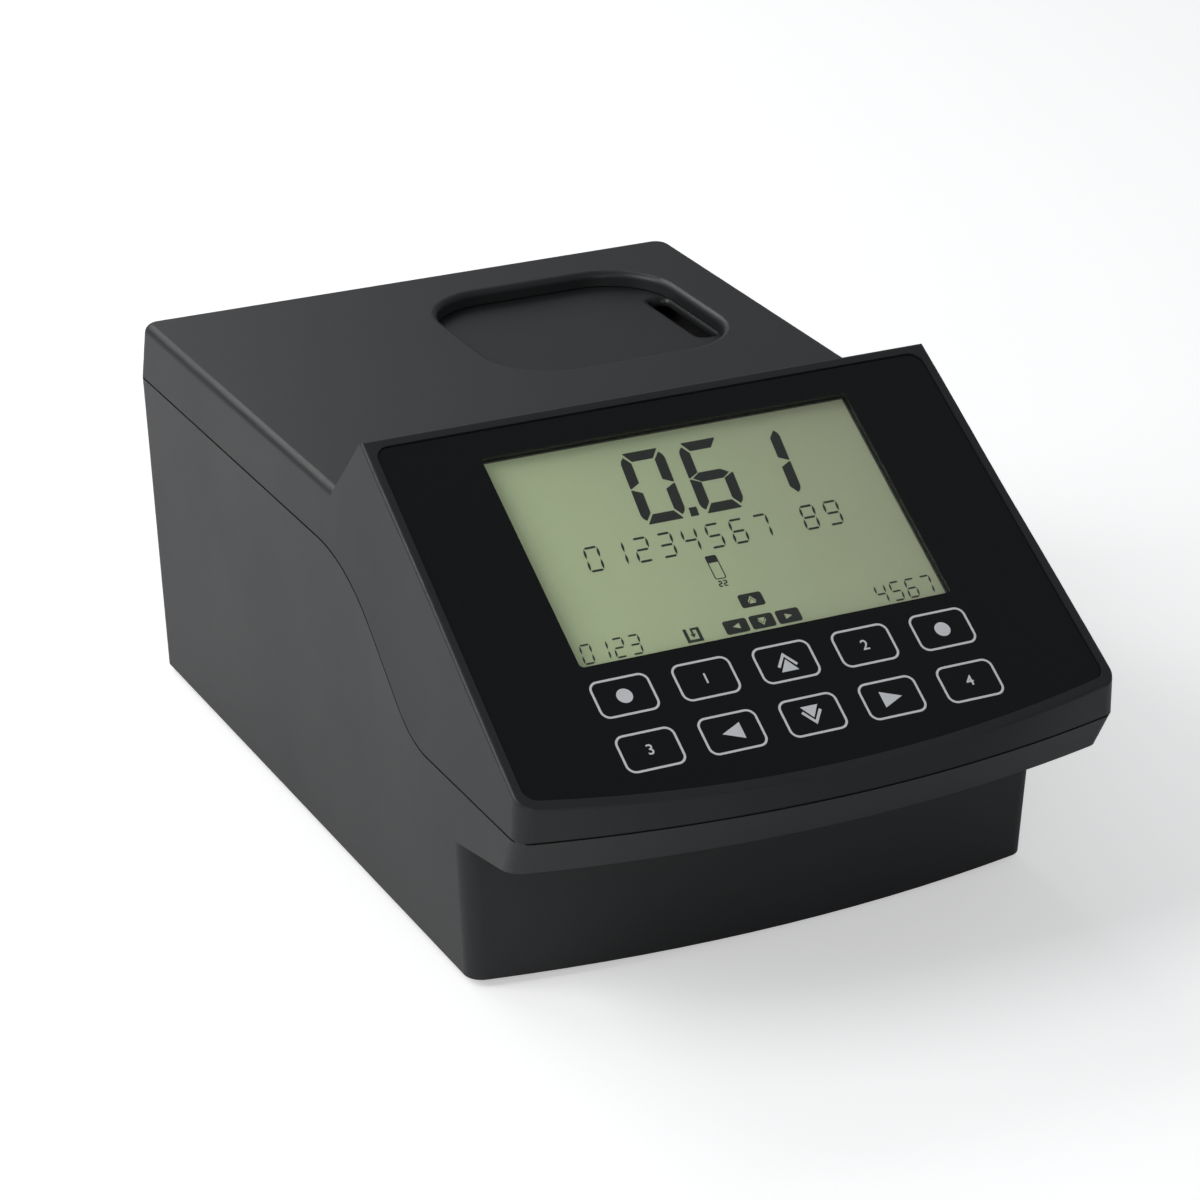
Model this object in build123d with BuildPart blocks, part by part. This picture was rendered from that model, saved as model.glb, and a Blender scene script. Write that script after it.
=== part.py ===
from build123d import *
import math
import os

# Benchtop analytical photometer with a sloping console, a covered cell compartment and a grating drive.
# Millimetres. +Z up, X across the front, +Y to the rear; the origin is on the table, under the middle.

# Clearances used in more than one place
running_clearance = 0.05
fixed_clearance = 0.02

# Housing: plan and side view
foot_height = 2.5
wall = 2.5
seam_half_width = 102.5
floor_half_width = 98.5
crown_half_width = 98.7
front_crown_half_width = 101.2
crown_z = 160.0
rear_floor_y = 157.7
rear_seam_y = 161.0
rear_deck_y = 160.0
deck_z = 130.0
rear_seam_z = 111.0
front_seam_z = 70.0
seam_rear_bend_y = -22.8
seam_front_bend_y = -71.0
seam_rear_bend_radius = 62.0
seam_front_bend_radius = 33.0
lower_front_y = -103.7
lower_front_top_y = -105.0
lower_front_bow = 10.7
overhang_z = 50.3
lip_z = 57.0
lip_y = -140.6
lip_bow = 13.0
band_y = -147.5
band_bow = 13.5
corner_radius = 6.0
deck_edge_radius = 3.0
rim_edge_radius = 1.2
parting_groove_width = 0.7
parting_groove_depth = 0.6

# Console
notch_y = -10.0
console_back_y = -29.0
console_top_z = 153.0
panel_tilt = 30.9
panel_length = 138.8
panel_bow = 10.7
rim_width = 3.2
panel_corner_radius = 5.0
panel_sheet_thickness = 1.4
panel_drop = 0.6
panel_fit = 0.25
panel_bed_thickness = 2.5

# Display and keys, measured down the slope from the console's back edge
window_width = 128.0
window_length = 81.4
window_start = 13.8
window_ledge = 2.0
window_thickness = 1.5
window_fit = 0.2
display_margin = 6.0
display_glass_thickness = 2.5
backlight_thickness = 5.0
display_tray_wall = 2.5
display_tray_floor = 2.0
display_fit = 0.3
touch_board_width = 150.0
touch_board_start = 102.0
touch_board_length = 34.0
board_thickness = 1.6

# Recess in the deck and the sliding cover that closes it from below
recess_x = 36.2
recess_y = 95.7
recess_width = 87.7
recess_length = 82.7
recess_corner_radius = 24.0
recess_edge_radius = 2.2
recess_skirt = 2.5
cover_drop = 5.5
cover_thickness = 3.0
cover_left_overlap = 6.0
cover_right_overlap = 3.5
cover_edge_radius = 3.0
cover_travel = 76.0
slide_gap = 0.3
runner_width = 2.0
runner_gap = 0.5
finger_slot_width = 7.5
finger_slot_length = 41.0
finger_slot_corner = 5.0
finger_grip_width = 2.6
finger_grip_height = 8.5
finger_grip_radius = 2.4

# Cell compartment
well_inner = 45.0
well_wall = 2.5
well_corner_radius = 6.0
track_floor_thickness = 2.5
track_floor_z = 115.5
track_wall = 2.0
track_end_gap = 1.0
rail_width = 2.5
beam_z = 72.0
beam_port_radius = 4.0
cell_radius = 12.5
cell_clearance = 0.3
holder_height = 40.0
holder_fit = 0.5
holder_floor = 4.0
holder_chamfer = 1.0

# Optical bench
bench_top_z = 50.0
bench_thickness = 4.0
bench_half_width = 90.0
bench_front_y = 46.0
bench_rear_y = 150.0
bench_corner_radius = 8.0
bench_post_radius = 5.0
bench_post_inset = 9.0
screw_radius = 1.5
screw_head_radius = 2.9
screw_head_height = 2.0

# Grating drive
gear_module = 0.75
sector_teeth = 80
pinion_teeth = 16
pressure_angle = 20.0
gear_backlash = 0.16
gear_width = 4.0
gear_base_z = 54.0
sector_half_angle = 34.0
sector_hub_radius = 8.0
pinion_width = 5.0
grating_x = -58.0
grating_y = recess_y
grating_shaft_radius = 3.0
bush_radius = 6.5
bush_flange_radius = 9.0
bush_flange_thickness = 2.0
table_radius = 14.0
table_thickness = 3.0
grating_width = 26.0
grating_height = 24.0
grating_thickness = 6.0
grating_curve_radius = 60.0
pinion_shaft_radius = 1.5
motor_size = 28.0
motor_height = 22.0
motor_corner_radius = 4.0
motor_boss_radius = 5.0

# Light source and detectors
lamp_house_x = -10.0
lamp_house_y = 132.0
lamp_house_size = 30.0
lamp_house_height = 38.0
lamp_house_wall = 2.0
lamp_fin_count = 5
lamp_radius = 4.5
lamp_length = 12.0
lamp_base_radius = 6.0
lens_radius = 8.0
lens_curve_radius = 14.0
lens_edge = 1.5
slit_plate_width = 24.0
slit_plate_height = 32.0
slit_plate_thickness = 1.5
slit_foot = 8.0
slit_width = 1.0
slit_height = 8.0
exit_slit_x = -8.0
detector_x = 72.0
detector_size = 24.0
detector_height = 34.0
detector_depth = 8.0

# Electronics
main_board_half_width = 78.0
main_board_front_y = -90.0
main_board_rear_y = 18.0
main_board_z = 38.0
board_post_radius = 4.0
board_post_inset = 7.0
battery_bay_x = 0.0
battery_bay_y = -46.0
battery_bay_width = 84.0
battery_bay_length = 52.0
battery_bay_height = 27.0
battery_bay_wall = 2.0
battery_fit = 1.0
door_ledge = 3.0
door_thickness = 1.5
door_fit = 0.3

# Feet and housing screws
foot_radius = 7.0
foot_recess = 1.0
foot_x = 82.0
front_foot_y = -86.0
rear_foot_y = 142.0
housing_screw_x = 88.0
front_screw_y = -62.0
rear_screw_y = 30.0
screw_boss_radius = 4.5
boss_split_z = 66.0
counterbore_depth = 2.0

# Rear connector field
rear_field_x = 46.0
rear_field_width = 76.0
rear_field_z = 26.0
rear_field_height = 28.0
rear_field_depth = 3.5
switch_x = 66.0
dc_socket_x = 45.0
usb_socket_x = 22.0
rocker_radius = 8.0
rocker_width = 9.6
rocker_pivot_depth = 4.0
rocker_rest_angle = 10.0
rocker_gap = 0.4
switch_wall = 1.6
switch_flange = 1.2
switch_body_depth = 15.0
socket_flange = 1.0

# Derived places shared by mating pieces
cover_top_z = deck_z - cover_drop
cover_bottom_z = cover_top_z - cover_thickness
cover_left_x = recess_x - recess_width / 2 - cover_left_overlap
cover_right_x = recess_x + recess_width / 2 + cover_right_overlap
runner_inner = recess_length / 2 + recess_skirt + runner_gap
cover_half_length = runner_inner + runner_width
slot_x = recess_x + recess_width / 2 - finger_slot_width
track_left_x = cover_left_x - cover_travel - track_end_gap
track_right_x = cover_right_x + track_end_gap
track_half_length = cover_half_length + slide_gap
well_outer = well_inner + 2 * well_wall
window_middle = window_start + window_length / 2
panel_bed = panel_drop + panel_sheet_thickness
panel_underside = panel_bed + panel_bed_thickness
centre_distance = gear_module * (sector_teeth + pinion_teeth) / 2
pinion_x = grating_x
pinion_y = grating_y - centre_distance
bench_underside_z = bench_top_z - bench_thickness
floor_inside_z = foot_height + wall
reach = seam_half_width + 30
far_rear_y = rear_seam_y + 25

panel_normal = (0, -math.sin(math.radians(panel_tilt)), math.cos(math.radians(panel_tilt)))
panel_plane = Plane(origin=(0, console_back_y, console_top_z), x_dir=(1, 0, 0), z_dir=panel_normal)
rear_lean = math.atan2(rear_seam_y - rear_floor_y, rear_seam_z - foot_height)
rear_normal = (0, math.cos(rear_lean), -math.sin(rear_lean))


def rear_plane(across, depth):
    """Plane on the rear wall's outer face, sunk by a depth, at the connector field's height."""
    wall_y = rear_floor_y + (rear_field_z - foot_height) * math.tan(rear_lean)
    face = Plane(origin=(-across, wall_y, rear_field_z), x_dir=(-1, 0, 0), z_dir=rear_normal)
    return face.offset(-depth)


def seam_region(upper):
    """Side-view region above or below the parting line, which dips in an S under the console."""
    far_z = crown_z + 100 if upper else -50
    with BuildSketch(Plane.YZ.offset(-reach)) as region:
        with BuildLine():
            FilletPolyline(
                (far_rear_y, rear_seam_z),
                (seam_rear_bend_y, rear_seam_z),
                (seam_front_bend_y, front_seam_z),
                (-far_rear_y, front_seam_z),
                radius=(seam_rear_bend_radius, seam_front_bend_radius),
            )
            Polyline(
                (-far_rear_y, front_seam_z),
                (-far_rear_y, far_z),
                (far_rear_y, far_z),
                (far_rear_y, rear_seam_z),
            )
        make_face()
    return region.sketch


def seam_block(upper):
    """Everything above or below the parting line, as wide as the housing."""
    region = seam_region(upper)
    with BuildPart() as block:
        extrude(region, amount=2 * reach, dir=(1, 0, 0))
    return block.part


def seam_stations():
    """Places along the parting line where its direction changes, from the rear to the front."""
    with BuildLine(Plane.YZ) as line:
        FilletPolyline(
            (far_rear_y, rear_seam_z),
            (seam_rear_bend_y, rear_seam_z),
            (seam_front_bend_y, front_seam_z),
            (-far_rear_y, front_seam_z),
            radius=(seam_rear_bend_radius, seam_front_bend_radius),
        )
    places = [Vector(0, far_rear_y, rear_seam_z), Vector(0, -far_rear_y, front_seam_z)]
    for bend in line.edges().filter_by(GeomType.CIRCLE):
        places += [bend @ 0, bend @ 0.33, bend @ 0.67, bend @ 1]
    return sorted(places, key=lambda place: -place.Y)


def plan_outline(plane, edge_y, bow, back_y):
    """Wide outline whose front edge is an arc that bows forward between the housing's sides."""
    radius = (seam_half_width**2 + bow**2) / (2 * bow)
    end_y = edge_y - bow + radius - math.sqrt(radius**2 - reach**2)
    with BuildSketch(plane) as outline:
        with BuildLine():
            ThreePointArc((-reach, end_y), (0, edge_y - bow), (reach, end_y))
            Polyline((reach, end_y), (reach, back_y), (-reach, back_y), (-reach, end_y))
        make_face()
    return outline.sketch


def draft_body(inset):
    """Sides drafted both ways from the parting line, lofted from rear to front."""
    with BuildPart() as body:
        for place in seam_stations():
            at_front = place.Y < -far_rear_y + 1
            crown = (front_crown_half_width if at_front else crown_half_width) - inset
            middle = seam_half_width - inset
            floor = floor_half_width - inset
            with BuildSketch(Plane.XZ.offset(-place.Y)):
                with BuildLine():
                    Polyline(
                        (floor, foot_height),
                        (middle, place.Z),
                        (crown, crown_z),
                        (-crown, crown_z),
                        (-middle, place.Z),
                        (-floor, foot_height),
                        close=True,
                    )
                make_face()
        loft(ruled=True)
    return body.part


def side_profile(inset):
    """Side view: leaning rear wall, flat deck and the console's back wall; open to the front."""
    back_slope = (notch_y - console_back_y) / (console_top_z - deck_z)
    over_z = crown_z - 2
    over_y = console_back_y - (over_z - console_top_z) * back_slope
    with BuildSketch(Plane.YZ.offset(-reach)) as side:
        with BuildLine():
            Polyline(
                (rear_floor_y, foot_height),
                (rear_seam_y, rear_seam_z),
                (rear_deck_y, deck_z),
                (notch_y, deck_z),
                (over_y, over_z),
                (-far_rear_y, over_z),
                (-far_rear_y, foot_height),
                close=True,
            )
        make_face()
        if inset > 0:
            offset(amount=-inset, kind=Kind.INTERSECTION, mode=Mode.REPLACE)
    with BuildPart() as profile:
        extrude(side.sketch, amount=2 * reach, dir=(1, 0, 0))
    return profile.part


def front_form(inset):
    """Bowed front: lower wall, overhang, lip and band, closed by the sloping panel plane."""
    back = far_rear_y
    levels = [
        (0, lower_front_y, lower_front_bow),
        (overhang_z + inset, lower_front_top_y, lower_front_bow),
        (lip_z + inset, lip_y, lip_bow),
        (front_seam_z, band_y, band_bow),
    ]
    sections = [plan_outline(Plane.XY.offset(z), y + inset, bow, back) for z, y, bow in levels]
    sections.append(plan_outline(panel_plane.offset(-inset), inset - panel_length, panel_bow, 1.4 * back))
    with BuildPart() as front:
        loft(sections, ruled=True)
    return front.part


def housing_form(inset):
    """The housing's whole outer form, or the same form drawn in by a wall."""
    return draft_body(inset) & side_profile(inset) & front_form(inset)


def parting_groove():
    """Shallow groove that runs round the housing along the parting line."""
    half = parting_groove_width / 2
    above = seam_block(True).moved(Location((0, 0, -half)))
    below = seam_block(False).moved(Location((0, 0, half)))
    return (above & below) - housing_form(parting_groove_depth)


def rounded_rectangle(plane, width, length, radius, x=0.0, y=0.0):
    """Rounded rectangle on a plane, centred on a place in that plane."""
    with BuildSketch(plane) as outline:
        with Locations((x, y)):
            RectangleRounded(width, length, radius)
    return outline.sketch


def recess_outline(z, grow=0.0):
    """Outline of the cover's recess, grown or drawn in evenly."""
    return rounded_rectangle(
        Plane.XY.offset(z),
        recess_width + 2 * grow,
        recess_length + 2 * grow,
        recess_corner_radius + grow,
        recess_x,
        recess_y,
    )


def panel_outline(depth, draw_in, radius):
    """Outline of the console's top face, drawn in evenly, at a depth under it."""
    half_back = crown_half_width + 0.6
    half_front = seam_half_width - 0.2
    with BuildSketch(panel_plane.offset(-depth)) as outline:
        with BuildLine():
            ThreePointArc(
                (-half_front, -panel_length),
                (0, -panel_length - panel_bow),
                (half_front, -panel_length),
            )
            Polyline(
                (half_front, -panel_length),
                (half_back, 0),
                (-half_back, 0),
                (-half_front, -panel_length),
            )
        make_face()
        offset(amount=-draw_in, kind=Kind.INTERSECTION, mode=Mode.REPLACE)
        fillet(outline.vertices(), radius)
    return outline.sketch


outer_form = housing_form(0)
inner_form = housing_form(wall)
mid_form = housing_form(wall / 2)
groove = parting_groove()
lower_space = seam_block(False)
upper_space = seam_block(True)
screw_places = [
    (side * housing_screw_x, y) for side in (-1, 1) for y in (front_screw_y, rear_screw_y)
]
foot_places = [(side * foot_x, y) for side in (-1, 1) for y in (front_foot_y, rear_foot_y)]
bench_screw_places = [
    (side * (bench_half_width - bench_post_inset), y)
    for side in (-1, 1)
    for y in (bench_front_y + bench_post_inset, bench_rear_y - bench_post_inset)
]
board_screw_places = [
    (side * (main_board_half_width - board_post_inset), y)
    for side in (-1, 1)
    for y in (main_board_front_y + board_post_inset, main_board_rear_y - board_post_inset)
]


def rear_openings(depth, length):
    """Cut-outs of the switch, the power socket and the data socket, from a depth behind the wall."""
    with BuildPart() as cuts:
        with BuildSketch(rear_plane(switch_x, depth)):
            Rectangle(rocker_width + 2 * (rocker_gap + switch_wall), 2 * (rocker_radius + rocker_gap + switch_wall))
        extrude(amount=-length)
        with BuildSketch(rear_plane(dc_socket_x, depth)):
            Circle(dc_body_radius)
        extrude(amount=-length)
        with BuildSketch(rear_plane(usb_socket_x, depth)):
            Rectangle(usb_body_width, usb_body_height)
        extrude(amount=-length)
    return cuts.part


dc_body_radius = 5.5
dc_bore_radius = 2.8
dc_pin_radius = 1.0
dc_body_length = 14.0
dc_bore_depth = 9.5
usb_body_width = 12.0
usb_body_height = 11.0
usb_body_length = 16.0
usb_port_width = 8.6
usb_port_height = 7.9
usb_port_depth = 9.0
usb_tongue_width = 5.6
usb_tongue_height = 3.2

# Connector field: a shallow pocket in the rear wall with its own backing wall
with BuildPart() as rear_field_pocket:
    with BuildSketch(rear_plane(rear_field_x, -5)):
        RectangleRounded(rear_field_width, rear_field_height, 3)
    extrude(amount=-(5 + rear_field_depth))
with BuildPart() as rear_field_backing:
    with BuildSketch(rear_plane(rear_field_x, wall / 2)):
        RectangleRounded(rear_field_width + 2 * wall, rear_field_height + 2 * wall, 3 + wall)
    extrude(amount=-(rear_field_depth + wall / 2))

# Screw bosses, bench posts and board posts that stand on the floor
with BuildPart() as floor_posts:
    with BuildSketch(Plane.XY.offset(floor_inside_z)):
        with Locations(*screw_places):
            Circle(screw_boss_radius)
    extrude(amount=boss_split_z - floor_inside_z)
    with BuildSketch(Plane.XY.offset(floor_inside_z)):
        with Locations(*bench_screw_places):
            Circle(bench_post_radius)
    extrude(amount=bench_underside_z - floor_inside_z)
    with BuildSketch(Plane.XY.offset(floor_inside_z)):
        with Locations(*board_screw_places):
            Circle(board_post_radius)
    extrude(amount=main_board_z - floor_inside_z)

# Lower housing: drafted tub with the overhanging lip, up to the S-shaped parting line
with BuildPart() as lower_housing:
    add(outer_form)
    add(lower_space, mode=Mode.INTERSECT)
    fillet(
        lower_housing.edges().filter_by(
            lambda e: abs(e.center().X) > floor_half_width - 1
            and e.center().Y < lip_y + 1
            and lip_z < e.center().Z < front_seam_z
            and abs(e.tangent_at(0.5).Z) > 0.5
        ),
        corner_radius,
    )
    fillet(
        lower_housing.edges().filter_by(
            lambda e: abs(e.center().X) > floor_half_width - 1
            and lower_front_top_y - 2 < e.center().Y < lower_front_y + 2
            and abs(e.tangent_at(0.5).Z) > 0.9
        ),
        corner_radius,
    )
    fillet(
        lower_housing.edges().filter_by(
            lambda e: abs(e.center().X) > floor_half_width - 1
            and e.center().Y > rear_floor_y
            and abs(e.tangent_at(0.5).Z) > 0.9
        ),
        corner_radius,
    )
    add(inner_form, mode=Mode.SUBTRACT)
    add(groove, mode=Mode.SUBTRACT)
    add(floor_posts.part & inner_form)
    add(rear_field_backing.part & outer_form)
    add(rear_field_pocket.part, mode=Mode.SUBTRACT)
    add(rear_openings(rear_field_depth - 1, wall + 2), mode=Mode.SUBTRACT)
    # battery bay walls
    with BuildSketch(Plane.XY.offset(floor_inside_z)):
        with Locations((battery_bay_x, battery_bay_y)):
            Rectangle(battery_bay_width + 2 * battery_bay_wall, battery_bay_length + 2 * battery_bay_wall)
            Rectangle(battery_bay_width, battery_bay_length, mode=Mode.SUBTRACT)
    extrude(amount=battery_bay_height - floor_inside_z)
    # battery opening with a ledge for its door
    with BuildSketch(Plane.XY.offset(foot_height)):
        with Locations((battery_bay_x, battery_bay_y)):
            RectangleRounded(battery_bay_width, battery_bay_length, 2)
    extrude(amount=door_thickness, mode=Mode.SUBTRACT)
    with BuildSketch(Plane.XY.offset(foot_height)):
        with Locations((battery_bay_x, battery_bay_y)):
            RectangleRounded(battery_bay_width - 2 * door_ledge, battery_bay_length - 2 * door_ledge, 2)
    extrude(amount=wall, mode=Mode.SUBTRACT)
    # lamp opening under the lamp house
    with BuildSketch(Plane.XY.offset(foot_height)):
        with Locations((lamp_house_x, lamp_house_y)):
            RectangleRounded(lamp_house_size + 2 * door_ledge, lamp_house_size + 2 * door_ledge, 2)
    extrude(amount=door_thickness, mode=Mode.SUBTRACT)
    with BuildSketch(Plane.XY.offset(foot_height)):
        with Locations((lamp_house_x, lamp_house_y)):
            RectangleRounded(lamp_house_size, lamp_house_size, 2)
    extrude(amount=wall, mode=Mode.SUBTRACT)
    # foot recesses
    with BuildSketch(Plane.XY.offset(foot_height)):
        with Locations(*foot_places):
            Circle(foot_radius + fixed_clearance)
    extrude(amount=foot_recess, mode=Mode.SUBTRACT)
    # housing screws: counterbore, then a clear hole up the boss
    with BuildSketch(Plane.XY.offset(foot_height)):
        with Locations(*screw_places):
            Circle(screw_head_radius + fixed_clearance)
    extrude(amount=counterbore_depth, mode=Mode.SUBTRACT)
    with BuildSketch(Plane.XY.offset(foot_height)):
        with Locations(*screw_places):
            Circle(screw_radius + fixed_clearance)
    extrude(amount=boss_split_z - foot_height, mode=Mode.SUBTRACT)
    # vents under the lamp
    with BuildSketch(Plane.XY.offset(foot_height)):
        with Locations((lamp_house_x - 34, lamp_house_y)):
            with GridLocations(5, 1, 4, 1):
                SlotOverall(24, 2.4, rotation=90)
    extrude(amount=wall, mode=Mode.SUBTRACT)

# Upper housing: console, deck and the cover's recess, down to the parting line
skirt_z = cover_top_z + slide_gap
with BuildPart() as recess_skirt_ring:
    extrude(recess_outline(skirt_z, recess_skirt), amount=deck_z - wall / 2 - skirt_z)
with BuildPart() as upper_bosses:
    with BuildSketch(Plane.XY.offset(boss_split_z)):
        with Locations(*screw_places):
            Circle(screw_boss_radius)
    extrude(amount=crown_z - boss_split_z)
with BuildPart() as panel_bed_plate:
    bed_outline = panel_outline(panel_bed - 0.5, rim_width - 1, panel_corner_radius)
    extrude(bed_outline, amount=-(panel_underside - panel_bed + 0.5), dir=panel_normal)

with BuildPart() as upper_housing:
    add(outer_form)
    add(upper_space, mode=Mode.INTERSECT)
    fillet(
        upper_housing.edges().filter_by(
            lambda e: abs(e.center().X) > floor_half_width
            and e.center().Y < lip_y
            and abs(e.tangent_at(0.5).Z) > 0.9
        ),
        corner_radius,
    )
    fillet(
        upper_housing.edges().filter_by(
            lambda e: abs(e.center().X) > floor_half_width
            and e.center().Y > rear_floor_y
            and abs(e.tangent_at(0.5).Z) > 0.9
        ),
        corner_radius,
    )
    fillet(
        upper_housing.edges().filter_by(
            lambda e: abs(e.center().Z - deck_z) < 0.1 and not (abs(e.center().X) < 1 and e.center().Y < 0)
        ),
        deck_edge_radius,
    )
    panel_face = upper_housing.faces().sort_by(lambda f: f.normal_at().dot(Vector(*panel_normal)))[-1]
    fillet(panel_face.outer_wire().edges(), rim_edge_radius)
    add(inner_form, mode=Mode.SUBTRACT)
    add(groove, mode=Mode.SUBTRACT)
    add(panel_bed_plate.part & mid_form)
    add(upper_bosses.part & mid_form)
    add(recess_skirt_ring.part & mid_form)
    # panel pocket
    pocket_outline = panel_outline(0, rim_width, panel_corner_radius)
    extrude(pocket_outline, amount=-panel_bed, dir=panel_normal, mode=Mode.SUBTRACT)
    # window step and opening
    with BuildSketch(panel_plane.offset(-panel_bed)):
        with Locations((0, -window_middle)):
            Rectangle(
                window_width + 2 * (window_ledge + window_fit),
                window_length + 2 * (window_ledge + window_fit),
            )
    extrude(amount=-window_thickness, mode=Mode.SUBTRACT)
    with BuildSketch(panel_plane.offset(-panel_bed)):
        with Locations((0, -window_middle)):
            Rectangle(window_width, window_length)
    extrude(amount=-(panel_underside - panel_bed), mode=Mode.SUBTRACT)
    # recess through the deck and its skirt
    extrude(recess_outline(skirt_z), amount=deck_z - skirt_z + 1, mode=Mode.SUBTRACT)
    recess_rim = upper_housing.edges().filter_by(
        lambda e: abs(e.center().Z - deck_z) < 0.01
        and abs(e.center().X - recess_x) < recess_width / 2 + 1
        and abs(e.center().Y - recess_y) < recess_length / 2 + 1
    )
    fillet(recess_rim, recess_edge_radius)
    # screw holes in the bosses
    with BuildSketch(Plane.XY.offset(boss_split_z)):
        with Locations(*screw_places):
            Circle(screw_radius + fixed_clearance)
    extrude(amount=12, mode=Mode.SUBTRACT)

# Rubber feet set in shallow recesses
with BuildPart() as rubber_feet:
    with BuildSketch():
        with Locations(*foot_places):
            Circle(foot_radius)
    extrude(amount=foot_height + foot_recess)
    chamfer(rubber_feet.edges().group_by(Axis.Z)[0], 0.8)

# Doors on the underside
with BuildPart() as battery_door:
    with BuildSketch(Plane.XY.offset(foot_height)):
        with Locations((battery_bay_x, battery_bay_y)):
            RectangleRounded(battery_bay_width - 2 * door_fit, battery_bay_length - 2 * door_fit, 1.7)
    extrude(amount=door_thickness)
with BuildPart() as lamp_door:
    with BuildSketch(Plane.XY.offset(foot_height)):
        with Locations((lamp_house_x, lamp_house_y)):
            size = lamp_house_size + 2 * (door_ledge - door_fit)
            RectangleRounded(size, size, 1.7)
    extrude(amount=door_thickness)

# Screws that hold the two housing halves together
with BuildPart() as housing_screws:
    with BuildSketch(Plane.XY.offset(foot_height)):
        with Locations(*screw_places):
            Circle(screw_head_radius)
    extrude(amount=counterbore_depth)
    with BuildSketch(Plane.XY.offset(foot_height)):
        with Locations(*screw_places):
            Circle(screw_radius)
    extrude(amount=boss_split_z + 10 - foot_height)

# Control panel: dark printed sheet with the window left open
with BuildPart() as control_panel:
    sheet_outline = panel_outline(panel_bed, rim_width + panel_fit, panel_corner_radius)
    extrude(sheet_outline, amount=panel_sheet_thickness, dir=panel_normal)
    with BuildSketch(panel_plane.offset(-panel_bed)):
        with Locations((0, -window_middle)):
            RectangleRounded(window_width, window_length, 1.5)
    extrude(amount=panel_sheet_thickness, mode=Mode.SUBTRACT)

# Clear window on its ledge under the sheet
with BuildPart() as display_window:
    with BuildSketch(panel_plane.offset(-panel_bed - window_thickness)):
        with Locations((0, -window_middle)):
            Rectangle(window_width + 2 * window_ledge, window_length + 2 * window_ledge)
    extrude(amount=window_thickness)

display_width = window_width + 2 * display_margin
display_length = window_length + 2 * window_ledge
with BuildPart() as display_glass:
    with BuildSketch(panel_plane.offset(-panel_underside)):
        with Locations((0, -window_middle)):
            Rectangle(display_width, display_length)
    extrude(amount=-display_glass_thickness)
with BuildPart() as display_backlight:
    with BuildSketch(panel_plane.offset(-panel_underside - display_glass_thickness)):
        with Locations((0, -window_middle)):
            Rectangle(display_width, display_length)
    extrude(amount=-backlight_thickness)

# Tray that carries the display from behind
tray_depth = display_glass_thickness + backlight_thickness + display_tray_floor
with BuildPart() as display_tray:
    with BuildSketch(panel_plane.offset(-panel_underside)):
        with Locations((0, -window_middle)):
            Rectangle(
                display_width + 2 * (display_fit + display_tray_wall),
                display_length + 2 * (display_fit + display_tray_wall),
            )
    extrude(amount=-tray_depth)
    with BuildSketch(panel_plane.offset(-panel_underside)):
        with Locations((0, -window_middle)):
            Rectangle(display_width + 2 * display_fit, display_length + 2 * display_fit)
    extrude(amount=display_tray_floor - tray_depth, mode=Mode.SUBTRACT)

# Touch board behind the printed keys
with BuildPart() as touch_board:
    with BuildSketch(panel_plane.offset(-panel_underside)):
        with Locations((0, -touch_board_start - touch_board_length / 2)):
            RectangleRounded(touch_board_width, touch_board_length, 2)
    extrude(amount=-board_thickness)

# Sliding cover: plate under the deck with side runners and a notch whose edge turns down for the finger
cover_middle_x = (cover_left_x + cover_right_x) / 2
cover_width = cover_right_x - cover_left_x
with BuildPart() as sliding_cover:
    with BuildSketch(Plane.XY.offset(cover_bottom_z)):
        with Locations((cover_middle_x, recess_y)):
            RectangleRounded(cover_width, 2 * cover_half_length, cover_edge_radius)
        with Locations(((slot_x + cover_right_x - cover_right_overlap) / 2, recess_y)):
            RectangleRounded(finger_slot_width, finger_slot_length, finger_slot_corner / 2, mode=Mode.SUBTRACT)
    extrude(amount=cover_thickness)
    with BuildSketch(Plane.XY.offset(cover_bottom_z - finger_grip_height + cover_thickness)):
        with Locations((slot_x - finger_grip_width / 2, recess_y)):
            Rectangle(finger_grip_width, finger_slot_length - finger_slot_corner)
    extrude(amount=finger_grip_height - cover_thickness)
    slot_edge = sliding_cover.edges().filter_by(Axis.Y).filter_by(
        lambda e: abs(e.center().Z - cover_top_z) < 0.01 and abs(e.center().X - slot_x) < 0.01
    )
    fillet(slot_edge, finger_grip_radius)
    with BuildSketch(Plane.XY.offset(cover_top_z)):
        with Locations(
            (cover_middle_x, recess_y - cover_half_length + runner_width / 2),
            (cover_middle_x, recess_y + cover_half_length - runner_width / 2),
        ):
            Rectangle(cover_width - 2 * cover_edge_radius, runner_width)
    extrude(amount=deck_z - wall - slide_gap - cover_top_z)

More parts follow.
